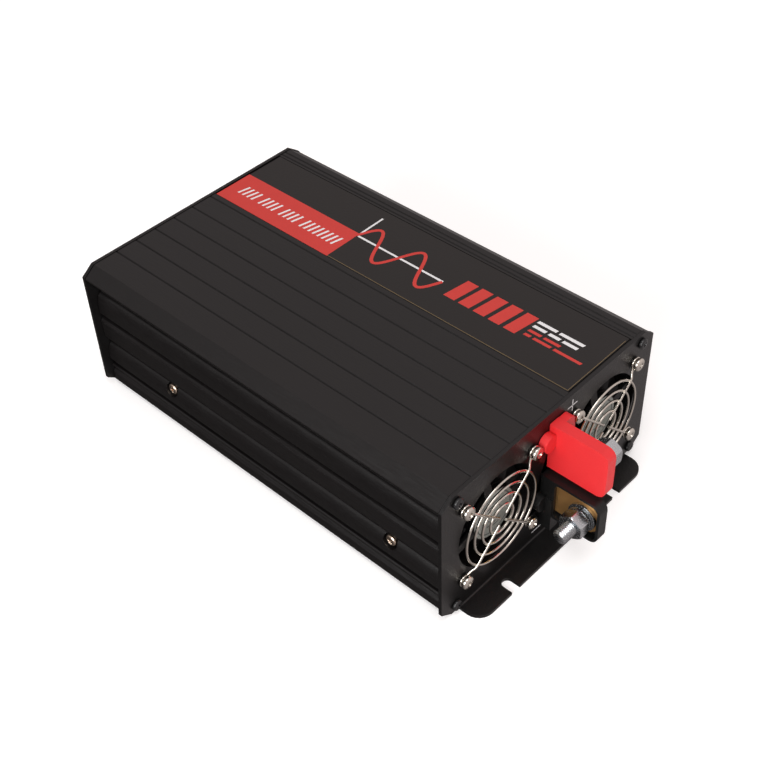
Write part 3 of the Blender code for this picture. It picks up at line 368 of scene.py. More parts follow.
def bright_nickel():
    # Bright nickel on drawn wire: near-mirror, with slight waves along it.
    return surface(
        "bright_nickel_plate",
        hues().nickel,
        0.16,
        metallic=1.0,
        cloud_mm=4,
        cloud=0.08,
        grain_mm=1.2,
        gloss_spread=0.06,
        relief=0.04,
    )


def warm_nickel():
    # Thin nickel over copper: the warm metal shows at the edges of the heads.
    return surface(
        "nickel_over_copper",
        hues().copper_nickel,
        0.22,
        metallic=1.0,
        cloud_mm=2.5,
        cloud=0.15,
        grain_mm=0.8,
        gloss_spread=0.08,
        relief=0.04,
    )


def zinc_plate():
    # Barrel-plated zinc with a clear passivate: bright but with a fine frosted grain.
    return surface(
        "clear_zinc_plate",
        hues().zinc,
        0.24,
        metallic=1.0,
        cloud_mm=3,
        cloud=0.12,
        grain_mm=0.5,
        gloss_spread=0.05,
        relief=0.04,
    )


def rolled_brass():
    # Punched from rolled strip: fine marks along the bar and a slight tarnish.
    return surface(
        "rolled_brass",
        hues().brass,
        0.44,
        metallic=1.0,
        cloud_mm=5,
        cloud=0.1,
        grain_mm=0.6,
        gloss_spread=0.05,
        relief=0.04,
        stretch=(0.1, 1.0, 1.0),
    )


def black_oxide():
    # Blackened steel: dark, oily and brighter than the coat around it.
    return surface(
        "blackened_screw_steel",
        linear("#1B1B1C"),
        0.3,
        cloud_mm=2,
        cloud=0.2,
        grain_mm=0.5,
        gloss_spread=0.08,
        relief=0.1,
    )


def sticker_foil():
    # Silver polyester sticker: soft metallic grey with a matt face.
    return surface(
        "silver_sticker_foil",
        linear("#9DA19A"),
        0.42,
        metallic=0.35,
        cloud_mm=5,
        cloud=0.1,
        grain_mm=0.7,
        gloss_spread=0.05,
        relief=0.05,
    )


def lens(name, tint):
    # Clear tinted lens: light goes in and comes back deep and saturated.
    return surface(
        name,
        tint,
        0.12,
        cloud_mm=3,
        cloud=0.1,
        grain_mm=1,
        gloss_spread=0.03,
        relief=0.02,
        fixed={"Transmission Weight": 0.3, "Coat Weight": 0.5, "Coat Roughness": 0.05},
    )


def rocker_red():
    # Polished polycarbonate: a clear gloss over a strong red.
    return surface(
        "polished_red_pc",
        linear("#B3151A"),
        0.2,
        cloud_mm=8,
        cloud=0.05,
        grain_mm=1,
        gloss_spread=0.04,
        relief=0.03,
        fixed={"Coat Weight": 0.4, "Coat Roughness": 0.08},
    )


def solder_mask():
    # Green solder mask over copper tracks: glossy, with the weave showing through.
    return surface(
        "green_solder_mask",
        linear("#1C5A34"),
        0.28,
        cloud_mm=4,
        cloud=0.3,
        grain_mm=0.8,
        gloss_spread=0.08,
        relief=0.2,
    )


def mill_aluminium():
    # Straight from the mill: pale, directional and softly scratched.
    return surface(
        "mill_finish_aluminium",
        linear("#C4C6C8"),
        0.36,
        metallic=1.0,
        cloud_mm=6,
        cloud=0.1,
        grain_mm=0.6,
        gloss_spread=0.1,
        relief=0.15,
        stretch=(0.1, 1.0, 1.0),
    )


def ferrite():
    # Pressed and sintered ceramic: dull charcoal with a coarse skin.
    return surface(
        "sintered_ferrite",
        linear("#3B3B3D"),
        0.7,
        cloud_mm=3,
        cloud=0.15,
        grain_mm=0.5,
        gloss_spread=0.08,
        relief=0.3,
    )


def capacitor_sleeve():
    # Shrunk PVC sleeve: dark blue, glossy and slightly wrinkled.
    return surface(
        "shrunk_pvc_sleeve",
        linear("#1F2D55"),
        0.24,
        cloud_mm=6,
        cloud=0.12,
        grain_mm=2,
        gloss_spread=0.05,
        relief=0.12,
    )


def enamelled_copper():
    # Enamelled winding wire: turns of bright copper side by side.
    return surface(
        "enamelled_copper_winding",
        linear("#B4623A"),
        0.26,
        metallic=1.0,
        cloud_mm=2,
        cloud=0.25,
        grain_mm=1.1,
        gloss_spread=0.08,
        relief=0.4,
    )


# ---------------------------------------------------------------- modelling tools
def only(obj):
    """Selects this object alone and makes it the active one."""
    if bpy.context.mode != "OBJECT":
        bpy.ops.object.mode_set(mode="OBJECT")
    bpy.ops.object.select_all(action="DESELECT")
    obj.select_set(True)
    bpy.context.view_layer.objects.active = obj
    return obj


def set_down(obj):
    """Moves the object's place, turn and scale into its mesh."""
    only(obj)
    bpy.ops.object.transform_apply(location=True, rotation=True, scale=True)
    return obj


def apply_modifier(obj, kind, **settings):
    only(obj)
    modifier = obj.modifiers.new(kind.title(), kind)
    for key, value in settings.items():
        setattr(modifier, key, value)
    bpy.ops.object.modifier_apply(modifier=modifier.name)
    return obj


def soften(obj, angle=35):
    only(obj)
    bpy.ops.object.shade_smooth_by_angle(angle=math.radians(angle))
    return obj


def face_out(obj):
    """Merges doubles and turns every face outwards."""
    only(obj)
    bpy.ops.object.mode_set(mode="EDIT")
    bpy.ops.mesh.select_all(action="SELECT")
    bpy.ops.mesh.remove_doubles(threshold=0.002 * MM)
    bpy.ops.mesh.normals_make_consistent(inside=False)
    bpy.ops.object.mode_set(mode="OBJECT")
    return obj


def break_edges(obj, width, segments=2, angle=30):
    """Rounds the sharp edges and shades the rest smooth, with the wide faces kept flat."""
    apply_modifier(
        obj,
        "BEVEL",
        width=width,
        segments=segments,
        limit_method="ANGLE",
        angle_limit=math.radians(angle),
        miter_outer="MITER_ARC",
        harden_normals=False,
    )
    soften(obj, 40)
    return apply_modifier(obj, "WEIGHTED_NORMAL", keep_sharp=True, weight=50)


def copied(node):
    """A merged copy of a frame node, ready to be worked on."""
    obj = bpy.data.objects.new(node + "_copy", NODES[node].data.copy())
    bpy.context.scene.collection.objects.link(obj)
    only(obj)
    bpy.ops.object.mode_set(mode="EDIT")
    bpy.ops.mesh.select_all(action="SELECT")
    bpy.ops.mesh.remove_doubles(threshold=0.005 * MM)
    bpy.ops.mesh.customdata_custom_splitnormals_clear()
    bpy.ops.mesh.dissolve_limited(angle_limit=math.radians(1))
    bpy.ops.object.mode_set(mode="OBJECT")
    return obj


def finish_piece(obj, name, material, node, stands_for=True):
    """Names a piece, gives it its finish and ties it to a node's body."""
    obj.name = name
    obj.data.name = name
    obj.data.materials.clear()
    obj.data.materials.append(material)
    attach(obj, NODES[node]["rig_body"])
    if stands_for:
        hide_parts(node)
    return obj


def dressed(node, name, material, edge, segments=2, angle=30):
    """A frame node's copy with its edges broken, which stands for the node."""
    obj = break_edges(copied(node), edge, segments, angle)
    return finish_piece(obj, name, material, node)


def turned(profile, steps=48):
    """A turned piece about Z: a disc pulled up ring by ring through (radius, height) steps."""
    radius, height = profile[0]
    bpy.ops.object.select_all(action="DESELECT")
    bpy.ops.mesh.primitive_circle_add(vertices=steps, radius=radius, fill_type="NGON")
    obj = bpy.context.object
    bpy.ops.object.mode_set(mode="EDIT")
    bpy.ops.mesh.select_all(action="SELECT")
    bpy.ops.transform.translate(value=(0, 0, height))
    for next_radius, next_height in profile[1:]:
        bpy.ops.mesh.extrude_region_move(
            TRANSFORM_OT_translate={"value": (0, 0, next_height - height)}
        )
        grow = next_radius / radius
        bpy.ops.transform.resize(value=(grow, grow, 1), center_override=(0, 0, next_height))
        radius, height = next_radius, next_height
    bpy.ops.object.mode_set(mode="OBJECT")
    return face_out(obj)


def cut_with(obj, cutter, operation="DIFFERENCE"):
    apply_modifier(obj, "BOOLEAN", object=cutter, operation=operation, solver="EXACT")
    bpy.data.objects.remove(cutter, do_unlink=True)
    return obj


def joined(pieces):
    """One object made of several, the first one's."""
    only(pieces[0])
    for piece in pieces[1:]:
        piece.select_set(True)
    if len(pieces) > 1:
        bpy.ops.object.join()
    return bpy.context.object


AIM = {
    "+X": Matrix.Rotation(math.radians(90), 4, "Y"),
    "-X": Matrix.Rotation(math.radians(-90), 4, "Y"),
    "+Y": Matrix.Rotation(math.radians(-90), 4, "X"),
    "-Y": Matrix.Rotation(math.radians(90), 4, "X"),
    "+Z": Matrix.Identity(4),
}


def stand(obj, place, aim):
    """Points a piece made along Z the way of aim, with its foot at place."""
    obj.matrix_world = Matrix.Translation(place) @ AIM[aim]
    bpy.context.view_layer.update()
    return set_down(obj)


def twin(obj):
    """A copy with a mesh of its own."""
    made = obj.copy()
    made.data = obj.data.copy()
    bpy.context.scene.collection.objects.link(made)
    return made


def slab(corners, thickness, edge=0.0):
    """A flat plate on the corners, pulled up by its thickness along Z."""
    bpy.ops.object.select_all(action="DESELECT")
    bpy.ops.mesh.primitive_circle_add(vertices=len(corners), radius=MM, fill_type="NGON")
    obj = bpy.context.object
    for vertex, corner in zip(obj.data.vertices, corners):
        vertex.co = corner
    only(obj)
    bpy.ops.object.mode_set(mode="EDIT")
    bpy.ops.mesh.select_all(action="SELECT")
    bpy.ops.mesh.extrude_region_move(TRANSFORM_OT_translate={"value": (0, 0, thickness)})
    bpy.ops.object.mode_set(mode="OBJECT")
    face_out(obj)
    return break_edges(obj, edge, 2) if edge else obj


def wire(points, radius, sides=12):
    """A round wire that bends smoothly past the points, with closed ends."""
    data = bpy.data.curves.new("wire", "CURVE")
    data.dimensions = "3D"
    data.bevel_depth = radius
    data.bevel_resolution = sides // 4
    data.resolution_u = 6
    data.use_fill_caps = True
    spline = data.splines.new("NURBS")
    spline.points.add(len(points) - 1)
    for point, place in zip(spline.points, points):
        point.co = (*place, 1.0)
    spline.order_u = 3
    spline.use_endpoint_u = True
    obj = bpy.data.objects.new("wire", data)
    bpy.context.scene.collection.objects.link(obj)
    only(obj)
    bpy.ops.object.convert(target="MESH")
    return face_out(bpy.context.object)

# ---------------------------------------------------------------------- operators
class InverterOperator:
    bl_options = {"REGISTER", "UNDO"}


class INVERTER_OT_stage(InverterOperator, Operator):
    """Pale floor, soft studio lights and the camera"""

    bl_idname = "inverter.stage"
    bl_label = "Stage"

    def execute(self, context):
        self.lay_floor()
        self.light()
        self.aim_camera(context)
        return {"FINISHED"}

    def lay_floor(self):
        bpy.ops.object.select_all(action="DESELECT")
        bpy.ops.mesh.primitive_plane_add(size=FLOOR_WIDTH)
        floor = bpy.context.object
        floor.name = "studio_floor"
        # Rolled paper, lit a little from below: matt, even and almost without shadow.
        floor.data.materials.append(
            surface(
                "matt_studio_paper",
                hues().floor,
                0.9,
                cloud_mm=300,
                cloud=0.01,
                grain_mm=2,
                gloss_spread=0.02,
                relief=0.02,
                fixed={
                    "Specular IOR Level": 0.1,
                    "Emission Color": (1.0, 1.0, 1.0, 1.0),
                    "Emission Strength": FLOOR_GLOW,
                },
            )
        )
        floor.visible_glossy = False

    def light(self):
        scene = bpy.context.scene
        scene.view_settings.view_transform = "Standard"
        world = bpy.data.worlds.new("soft_studio")
        scene.world = world
        world.use_nodes = True
        tree = world.node_tree
        backdrop = tree.nodes["Background"]
        way = add_node(tree, "ShaderNodeTexCoord").outputs["Generated"]
        # The studio is brightest above and past the fans, and dim low down on the louvres' side.
        toward_bright = add_node(
            tree,
            "ShaderNodeVectorMath",
            {"operation": "DOT_PRODUCT", 1: BRIGHT_WAY},
            {0: way},
        )
        glow = add_node(
            tree,
            "ShaderNodeMapRange",
            {"From Min": -1.0, "From Max": 1.0, "To Min": DIMMEST, "To Max": BRIGHTEST},
            {"Value": toward_bright.outputs["Value"]},
        )
        tree.links.new(glow.outputs["Result"], backdrop.inputs["Strength"])
        backdrop.inputs["Color"].default_value = STUDIO_TINT
        for name, place, aim_at, width, power in SOFTBOXES:
            data = bpy.data.lights.new(name, "AREA")
            data.shape = "SQUARE"
            data.size = width
            data.energy = power
            lamp = bpy.data.objects.new(name, data)
            scene.collection.objects.link(lamp)
            lamp.location = place
            lamp.rotation_euler = (
                (Vector(place) - Vector(aim_at)).to_track_quat("Z", "Y").to_euler()
            )

    def aim_camera(self, context):
        chosen = sizes()
        rise, swing, roll = chosen.camera_rise, chosen.camera_turn, chosen.camera_roll
        back = Vector(
            (math.sin(swing) * math.cos(rise), -math.cos(swing) * math.cos(rise), math.sin(rise))
        )
        level = (-back).cross(Vector((0, 0, 1))).normalized()
        upright = level.cross(-back)
        right = level * math.cos(roll) + upright * math.sin(roll)
        up = -level * math.sin(roll) + upright * math.cos(roll)
        data = bpy.data.cameras.new("studio_camera")
        data.lens = LENS_MM
        data.sensor_width = SENSOR_MM
        data.clip_start = NEAREST_SEEN
        camera = bpy.data.objects.new("studio_camera", data)
        context.scene.collection.objects.link(camera)
        turned_to = Matrix((right, up, back)).transposed().to_4x4()
        camera.matrix_world = (
            Matrix.Translation(CAMERA_TARGET + back * chosen.camera_distance) @ turned_to
        )
        context.scene.camera = camera


class INVERTER_OT_case(InverterOperator, Operator):
    """Ribbed cover, louvred housing and the two end plates"""

    bl_idname = "inverter.case"
    bl_label = "Case"

    def execute(self, context):
        chosen = sizes()
        for node, name in (("top_cover", "ribbed_cover"), ("lower_housing", "louvred_housing")):
            dressed(node, name, anodised_aluminium(), chosen.extrusion_edge, 2, 25)
        for node, name in (("dc_end_plate", "dc_plate"), ("ac_end_plate", "ac_plate")):
            dressed(node, name, powder_coat(), chosen.sheet_edge, 3, 30)
        return {"FINISHED"}


class INVERTER_OT_label(InverterOperator, Operator):
    """Label film and the inks printed on it"""

    bl_idname = "inverter.label"
    bl_label = "Label"

    def execute(self, context):
        chosen = sizes()
        dressed("label", "label_film", label_film(), 0.08 * MM, 2)
        low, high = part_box("label")
        self.top = high.z
        self.middle = (low.x + high.x) / 2
        self.lift = chosen.print_lift
        white = ink("white_screen_ink", hues().label_white)
        red = ink("red_screen_ink", hues().label_red)
        gold = ink("gold_screen_ink", hues().label_gold)
        self.print_ink("printed_banner", [self.bar(*BANNER)], red)
        self.print_ink("printed_banner_ticks", self.ticks((4, 4, 4, 8)), white)
        self.print_ink("printed_axes", [self.bar(*UPRIGHT_AXIS), self.bar(*LEVEL_AXIS)], white)
        self.print_ink("printed_wave", [self.wave(chosen)], red)
        blocks = [self.bar(33 + 10 * i, 40.4 + 10 * i, 30.5, 47.8, 2.6) for i in range(5)]
        self.print_ink("printed_power_blocks", blocks, red)
        self.print_ink(
            "printed_fine_bars_white",
            self.dashes((12, 15), 44.6, 46.6) + self.dashes((8, 7, 9), 40.6, 42.6),
            white,
        )
        self.print_ink(
            "printed_fine_bars_red",
            self.dashes((8, 10), 36.6, 38.4) + self.dashes((4, 11, 17), 33.0, 34.8),
            red,
        )
        self.print_ink("printed_border", [self.bar(*BORDER_ALONG), self.bar(*BORDER_END)], gold)
        return {"FINISHED"}

    def bar(self, left, right, near, far, slant=0.0, layer=0):
        """A printed bar, in millimetres from the label's middle, its far end slanted."""
        x, z = self.middle, self.top + layer * self.lift
        corners = [
            (x + left * MM, near * MM, z),
            (x + right * MM, near * MM, z),
            (x + (right + slant) * MM, far * MM, z),
            (x + (left + slant) * MM, far * MM, z),
        ]
        return slab(corners, self.lift)

    def ticks(self, groups):
        """Slanted strokes in groups along the banner, on top of its ink."""
        wide, near, far, slant = 1.3, 23.4, 31.2, 1.8
        pitch, between_groups = 3.55, 2.6
        made, place = [], BANNER[0] + 8
        for count in groups:
            for _ in range(count):
                made.append(self.bar(place, place + wide, near, far, slant, layer=1))
                place += pitch
            place += between_groups
        return made

    def dashes(self, lengths, near, far):
        """A row of short bars where the fine print stands."""
        gap, slant = 1.8, 0.5
        made, start = [], FINE_BARS_START
        for length in lengths:
            made.append(self.bar(start, start + length, near, far, slant))
            start += length + gap
        return made

    def wave(self, chosen):
        """Two periods of a sine as a ribbon, pulled up from a grid."""
        stations = 96
        bpy.ops.object.select_all(action="DESELECT")
        bpy.ops.mesh.primitive_grid_add(x_subdivisions=stations, y_subdivisions=1, size=2)
        obj = bpy.context.object
        length = 2 * chosen.wave_length
        start = self.middle + UPRIGHT_AXIS[0] * MM
        level = 38.2 * MM
        clear = 0.004 * MM  # the wave crosses the axes, so its foot stands over theirs
        for vertex in obj.data.vertices:
            along = (vertex.co.x + 1) / 2
            phase = 4 * math.pi * along
            slope = Vector(
                (length, chosen.wave_height * 4 * math.pi * math.cos(phase))
            ).normalized()
            side = vertex.co.y * chosen.wave_stroke / 2
            vertex.co = (
                start + length * along - slope.y * side,
                level + chosen.wave_height * math.sin(phase) + slope.x * side,
                self.top + clear,
            )
        only(obj)
        bpy.ops.object.mode_set(mode="EDIT")
        bpy.ops.mesh.select_all(action="SELECT")
        bpy.ops.mesh.extrude_region_move(TRANSFORM_OT_translate={"value": (0, 0, self.lift)})
        bpy.ops.object.mode_set(mode="OBJECT")
        return face_out(obj)

    def print_ink(self, name, pieces, material):
        finish_piece(joined(pieces), name, material, "label", stands_for=False)


class INVERTER_OT_marks(InverterOperator, Operator):
    """Plus and minus marks printed beside the terminals"""

    bl_idname = "inverter.marks"
    bl_label = "Polarity marks"

    def execute(self, context):
        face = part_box("dc_end_plate")[0].x + PLATE_THICKNESS
        white = ink("white_screen_ink", hues().label_white)
        stroke, reach = 0.3 * MM, 3.8 * MM
        for name, place, crossed in (
            ("printed_plus", (14.2 * MM, 78.6 * MM), True),
            ("printed_minus", (-8.7 * MM, 7.6 * MM), False),
        ):
            bars = [self.stroke(reach, stroke)]
            if crossed:
                bars.append(self.stroke(stroke, reach))
            mark = joined(bars)
            quarter = math.radians(90)
            upright = Matrix.Rotation(quarter, 4, "Z") @ Matrix.Rotation(quarter, 4, "X")
            mark.matrix_world = Matrix.Translation((face, *place)) @ upright
            bpy.context.view_layer.update()
            finish_piece(set_down(mark), name, white, "dc_end_plate", stands_for=False)
        return {"FINISHED"}

    def stroke(self, half_wide, half_high):
        ink_thickness = 0.04 * MM
        corners = [(-1, -1), (1, -1), (1, 1), (-1, 1)]
        return slab([(x * half_wide, y * half_high, 0) for x, y in corners], ink_thickness)


def pan_head_screw(head_radius, head, shank_radius, shank):
    """A pan-head screw with a tapering cross recess, its seat on Z = 0."""
    body = turned(
        [
            (shank_radius * 0.6, -shank),
            (shank_radius, -shank + 0.6 * MM),
            (shank_radius, -0.001 * MM),
            (head_radius * 0.97, 0),
            (head_radius, head * 0.1),
            (head_radius, head * 0.42),
            (head_radius * 0.97, head * 0.62),
            (head_radius * 0.88, head * 0.82),
            (head_radius * 0.72, head * 0.94),
            (head_radius * 0.5, head * 0.99),
            (head_radius * 0.15, head),
        ],
        32,
    )
    arm, half_slot = head_radius * 0.62, 0.5 * MM
    wings = []
    for wide, high in ((arm, half_slot), (half_slot, arm)):
        bpy.ops.object.select_all(action="DESELECT")
        bpy.ops.mesh.primitive_cube_add(size=1, location=(0, 0, head))
        wing = bpy.context.object
        wing.scale = (2 * wide, 2 * high, head * 1.5)
        set_down(wing)
        # The recess narrows towards its foot.
        for vertex in wing.data.vertices:
            if vertex.co.z < head:
                vertex.co.x *= 0.5 if wide > high else 0.8
                vertex.co.y *= 0.5 if high > wide else 0.8
        wings.append(wing)
    cut_with(wings[0], wings[1], "UNION")
    cut_with(body, wings[0])
    break_edges(body, 0.07 * MM, 1, 40)
    return body


class INVERTER_OT_screws(InverterOperator, Operator):
    """Pan-head screws of the end plates, side walls and fan guards"""

    bl_idname = "inverter.screws"
    bl_label = "Screws"

    def execute(self, context):
        chosen = sizes()
        numbers = range(1, SCREWS_PER_SET + 1)
        guard_screws = [f"{side}_guard_screw_{n}" for side in SIDES for n in numbers]
        # Each kind: head radius, head height, shank radius and finish.
        plate = (chosen.plate_screw_head, 2.0 * MM, 1.45 * MM, black_oxide)
        wall = (chosen.side_screw_head, 2.3 * MM, 1.5 * MM, warm_nickel)
        guard = (chosen.guard_screw_head, 2.2 * MM, 1.75 * MM, bright_nickel)
        for nodes, aim, kind in (
            ([f"dc_plate_screw_{n}" for n in numbers], "+X", plate),
            ([f"ac_plate_screw_{n}" for n in numbers], "-X", plate),
            (["side_screw_1", "side_screw_2"], "-Y", wall),
            (["side_screw_3", "side_screw_4"], "+Y", wall),
            (guard_screws, "+X", guard),
        ):
            head_radius, head, shank_radius, material = kind
            axis = "XY".index(aim[1])
            sign = 1 if aim[0] == "+" else -1
            low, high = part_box(nodes[0])
            shank = high[axis] - low[axis] - head
            pattern = pan_head_screw(head_radius, head, shank_radius, shank)
            for number, node in enumerate(nodes):
                low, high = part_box(node)
                place = (low + high) / 2
                place[axis] = (high[axis] if sign > 0 else low[axis]) - sign * head
                screw = twin(pattern)
                # Each screw has stopped at its own angle.
                stopped_at = math.radians(17 + 41 * number)
                screw.data.transform(Matrix.Rotation(stopped_at, 4, "Z"))
                stand(screw, place, aim)
                finish_piece(screw, node + "_detailed", material(), node)
            bpy.data.objects.remove(pattern, do_unlink=True)
        return {"FINISHED"}


class INVERTER_OT_fans(InverterOperator, Operator):
    """Fan frames, bladed rotors and the stickers on their motors"""

    bl_idname = "inverter.fans"
    bl_label = "Fans"

    def execute(self, context):
        chosen = sizes()
        for side in SIDES:
            dressed(f"{side}_fan_frame", f"{side}_fan_body", black_abs(), 0.3 * MM, 2, 35)
            self.rotor(side, chosen)
            self.sticker(side, chosen)
        return {"FINISHED"}

    def rotor(self, side, chosen):
        node = f"{side}_fan_rotor"
        low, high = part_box(node)
        depth = high.x - low.x
        hub, wall, shaft_hole = chosen.fan_hub, 1.6 * MM, 2.2 * MM
        cup = turned(
            [
                (shaft_hole, 2 * wall),
                (hub - wall, 2 * wall),
                (hub - wall, depth),
                (hub, depth),
                (hub, 1.4 * MM),
                (hub - 0.4 * MM, 0.5 * MM),
                (hub - 1.3 * MM, 0),
                (shaft_hole, 0),
            ],
            56,
        )
        reach = (high.z - low.z) / 2
        blades = [self.blade(chosen, depth, reach, n) for n in range(chosen.fan_blades)]
        rotor = joined([cup, *blades])
        place = (low + high) / 2
        place.x = low.x
        stand(rotor, place, "+X")
        finish_piece(soften(rotor, 40), f"{side}_fan_blades", black_abs(), node)

    def blade(self, chosen, depth, reach, number):
        """One pitched, cambered blade, swept back and flatter towards its tip."""
        bpy.ops.object.select_all(action="DESELECT")
        bpy.ops.mesh.primitive_grid_add(x_subdivisions=12, y_subdivisions=8, size=2)
        obj = bpy.context.object
        root, tip = chosen.fan_hub - 0.8 * MM, reach - 1.0 * MM
        chord, rise = 17.0 * MM, depth - 2.4 * MM
        for vertex in obj.data.vertices:
            out = (vertex.co.x + 1) / 2
            along = vertex.co.y / 2
            radius = root + (tip - root) * out
            sweep = math.radians(8) * out**2
            camber = 1.1 * MM * (1 - 4 * along**2)
            around = along * chord / radius + sweep
            height = depth / 2 - along * rise * (1 - 0.22 * out) + camber
            around += 2 * math.pi * number / chosen.fan_blades
            vertex.co = (radius * math.cos(around), radius * math.sin(around), height)
        apply_modifier(obj, "SOLIDIFY", thickness=1.1 * MM, offset=0.0)
        return face_out(obj)

    def sticker(self, side, chosen):
        node = f"{side}_fan_frame"
        low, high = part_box(node)
        place = (low + high) / 2
        place.x = high.x
        radius = chosen.fan_sticker
        edge, thick = 0.08 * MM, 0.12 * MM
        disc = turned([(radius, 0), (radius, edge), (radius - edge, thick), (0.5 * MM, thick)], 64)
        stand(disc, place, "+X")
        name = f"{side}_fan_sticker"
        finish_piece(soften(disc, 30), name, sticker_foil(), node, stands_for=False)
        rings = []
        for ring_radius, stroke in ((0.86 * radius, 0.35 * MM), (0.34 * radius, 0.3 * MM)):
            rings.append(self.flat_ring(ring_radius, stroke))
        for row, half in ((5.6, 6.0), (7.8, 4.2), (-6.4, 5.2), (-8.4, 3.4)):
            near, far, foot = (row - 0.4) * MM, (row + 0.4) * MM, 0.1 * MM
            left, right = -half * MM, half * MM
            corners = [(left, near, foot), (right, near, foot), (right, far, foot), (left, far, foot)]
            rings.append(slab(corners, 0.05 * MM))
        marks = joined(rings)
        marks.data.transform(Matrix.Rotation(math.radians(90), 4, "Z"))
        stand(marks, place, "+X")
        grey = ink("dark_grey_sticker_ink", linear("#4A4C4B"))
        finish_piece(marks, name + "_print", grey, node, stands_for=False)

    def flat_ring(self, radius, stroke):
        """A printed ring on the sticker."""
        bpy.ops.object.select_all(action="DESELECT")
        bpy.ops.mesh.primitive_torus_add(
            major_radius=radius, minor_radius=stroke, major_segments=64, minor_segments=8
        )
        ring = bpy.context.object
        ring.scale = (1, 1, 0.04 * MM / stroke)
        ring.location = (0, 0, 0.12 * MM)
        return set_down(ring)


class INVERTER_OT_guards(InverterOperator, Operator):
    """Nickel-plated wire guards over the fans"""

    bl_idname = "inverter.guards"
    bl_label = "Fan guards"

    def execute(self, context):
        chosen = sizes()
        gauge = chosen.guard_wire
        for side in SIDES:
            node = f"{side}_fan_guard"
            low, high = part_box(node)
            middle = (low + high) / 2
            foot = low.x + gauge
            arm = high.x - gauge
            ring = arm - 0.9 * gauge
            pieces = [
                self.ring(chosen.guard_hub_ring + chosen.guard_ring_step * n, ring, middle, gauge)
                for n in range(chosen.guard_rings)
            ]
            outer = chosen.guard_hub_ring + chosen.guard_ring_step * (chosen.guard_rings - 1)
            hold = chosen.fan_holes / math.sqrt(2)
            # Each arm lies on the rings, bends down past the outer one and ends in an eye.
            for quarter in range(4):
                turn_to = math.radians(45 + 90 * quarter)
                way = Vector((0, math.cos(turn_to), math.sin(turn_to)))
                centre = Vector((0, middle.y, middle.z))
                stations = (
                    (chosen.guard_arm_start, arm),
                    (outer - 2.0 * MM, arm),
                    (outer + 1.4 * MM, arm),
                    (hold - 5.2 * MM, foot + 0.3 * MM),
                    (hold - chosen.guard_eye + 0.1 * MM, foot),
                )
                path = [centre + way * out + Vector((x, 0, 0)) for out, x in stations]
                pieces.append(wire(path, gauge))
                eye = self.ring(chosen.guard_eye, foot, centre + way * hold, gauge)
                pieces.append(eye)
            guard = soften(joined(pieces), 60)
            finish_piece(guard, f"{side}_wire_guard", bright_nickel(), node)
        return {"FINISHED"}

    def ring(self, radius, x, middle, gauge):
        bpy.ops.object.select_all(action="DESELECT")
        bpy.ops.mesh.primitive_torus_add(
            location=(x, middle.y, middle.z),
            rotation=(0, math.radians(90), 0),
            major_radius=radius,
            minor_radius=gauge,
            major_segments=max(28, int(radius / MM * 3)),
            minor_segments=12,
        )
        return set_down(bpy.context.object)


class INVERTER_OT_terminals(InverterOperator, Operator):
    """Red and black terminal trays, busbars, studs, nuts and washers"""

    bl_idname = "inverter.terminals"
    bl_label = "Terminals"

    def execute(self, context):
        chosen = sizes()
        for prefix, material, aim in (
            ("positive", red_pvc(), "+Y"),
            ("negative", black_abs(), "-Y"),
        ):
            dressed(
                f"{prefix}_housing", f"{prefix}_tray", material, chosen.moulded_edge * 0.6, 3, 30
            )
            dressed(f"{prefix}_busbar", f"{prefix}_bar", rolled_brass(), chosen.small_edge, 2)
            for part in ("flat_washer", "spring_washer", "nut"):
                dressed(
                    f"{prefix}_{part}",
                    f"{prefix}_{part}_detailed",
                    zinc_plate(),
                    chosen.small_edge * 0.7,
                    2,
                    30,
                )
            self.stud(prefix, aim, chosen)
        return {"FINISHED"}

    def stud(self, prefix, aim, chosen):
        """A threaded stud with a chamfered end."""
        node = f"{prefix}_stud"
        low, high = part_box(node)
        length = high.y - low.y
        radius, pitch = chosen.stud_radius, chosen.thread_pitch
        chamfer = 1.0 * MM
        rings_per_turn = 10
        count = int(length / pitch * rings_per_turn)
        profile = [(radius, length * i / count) for i in range(count + 1)]
        stud = turned(profile, 36)
        for vertex in stud.data.vertices:
            around = math.atan2(vertex.co.y, vertex.co.x) / (2 * math.pi)
            turns = vertex.co.z / pitch - around
            flank = abs((turns % 1.0) - 0.5) * 2
            depth = chosen.thread_depth * min(1.0, max(0.0, 1.25 * flank - 0.12))
            cut_back = max(0.0, chamfer - (length - vertex.co.z))
            scale = (radius - max(depth, cut_back)) / radius
            vertex.co.x *= scale
            vertex.co.y *= scale
        place = (low + high) / 2
        place.y = low.y if aim == "+Y" else high.y
        stand(stud, place, aim)
        finish_piece(soften(stud, 50), f"{prefix}_threaded_stud", zinc_plate(), node)


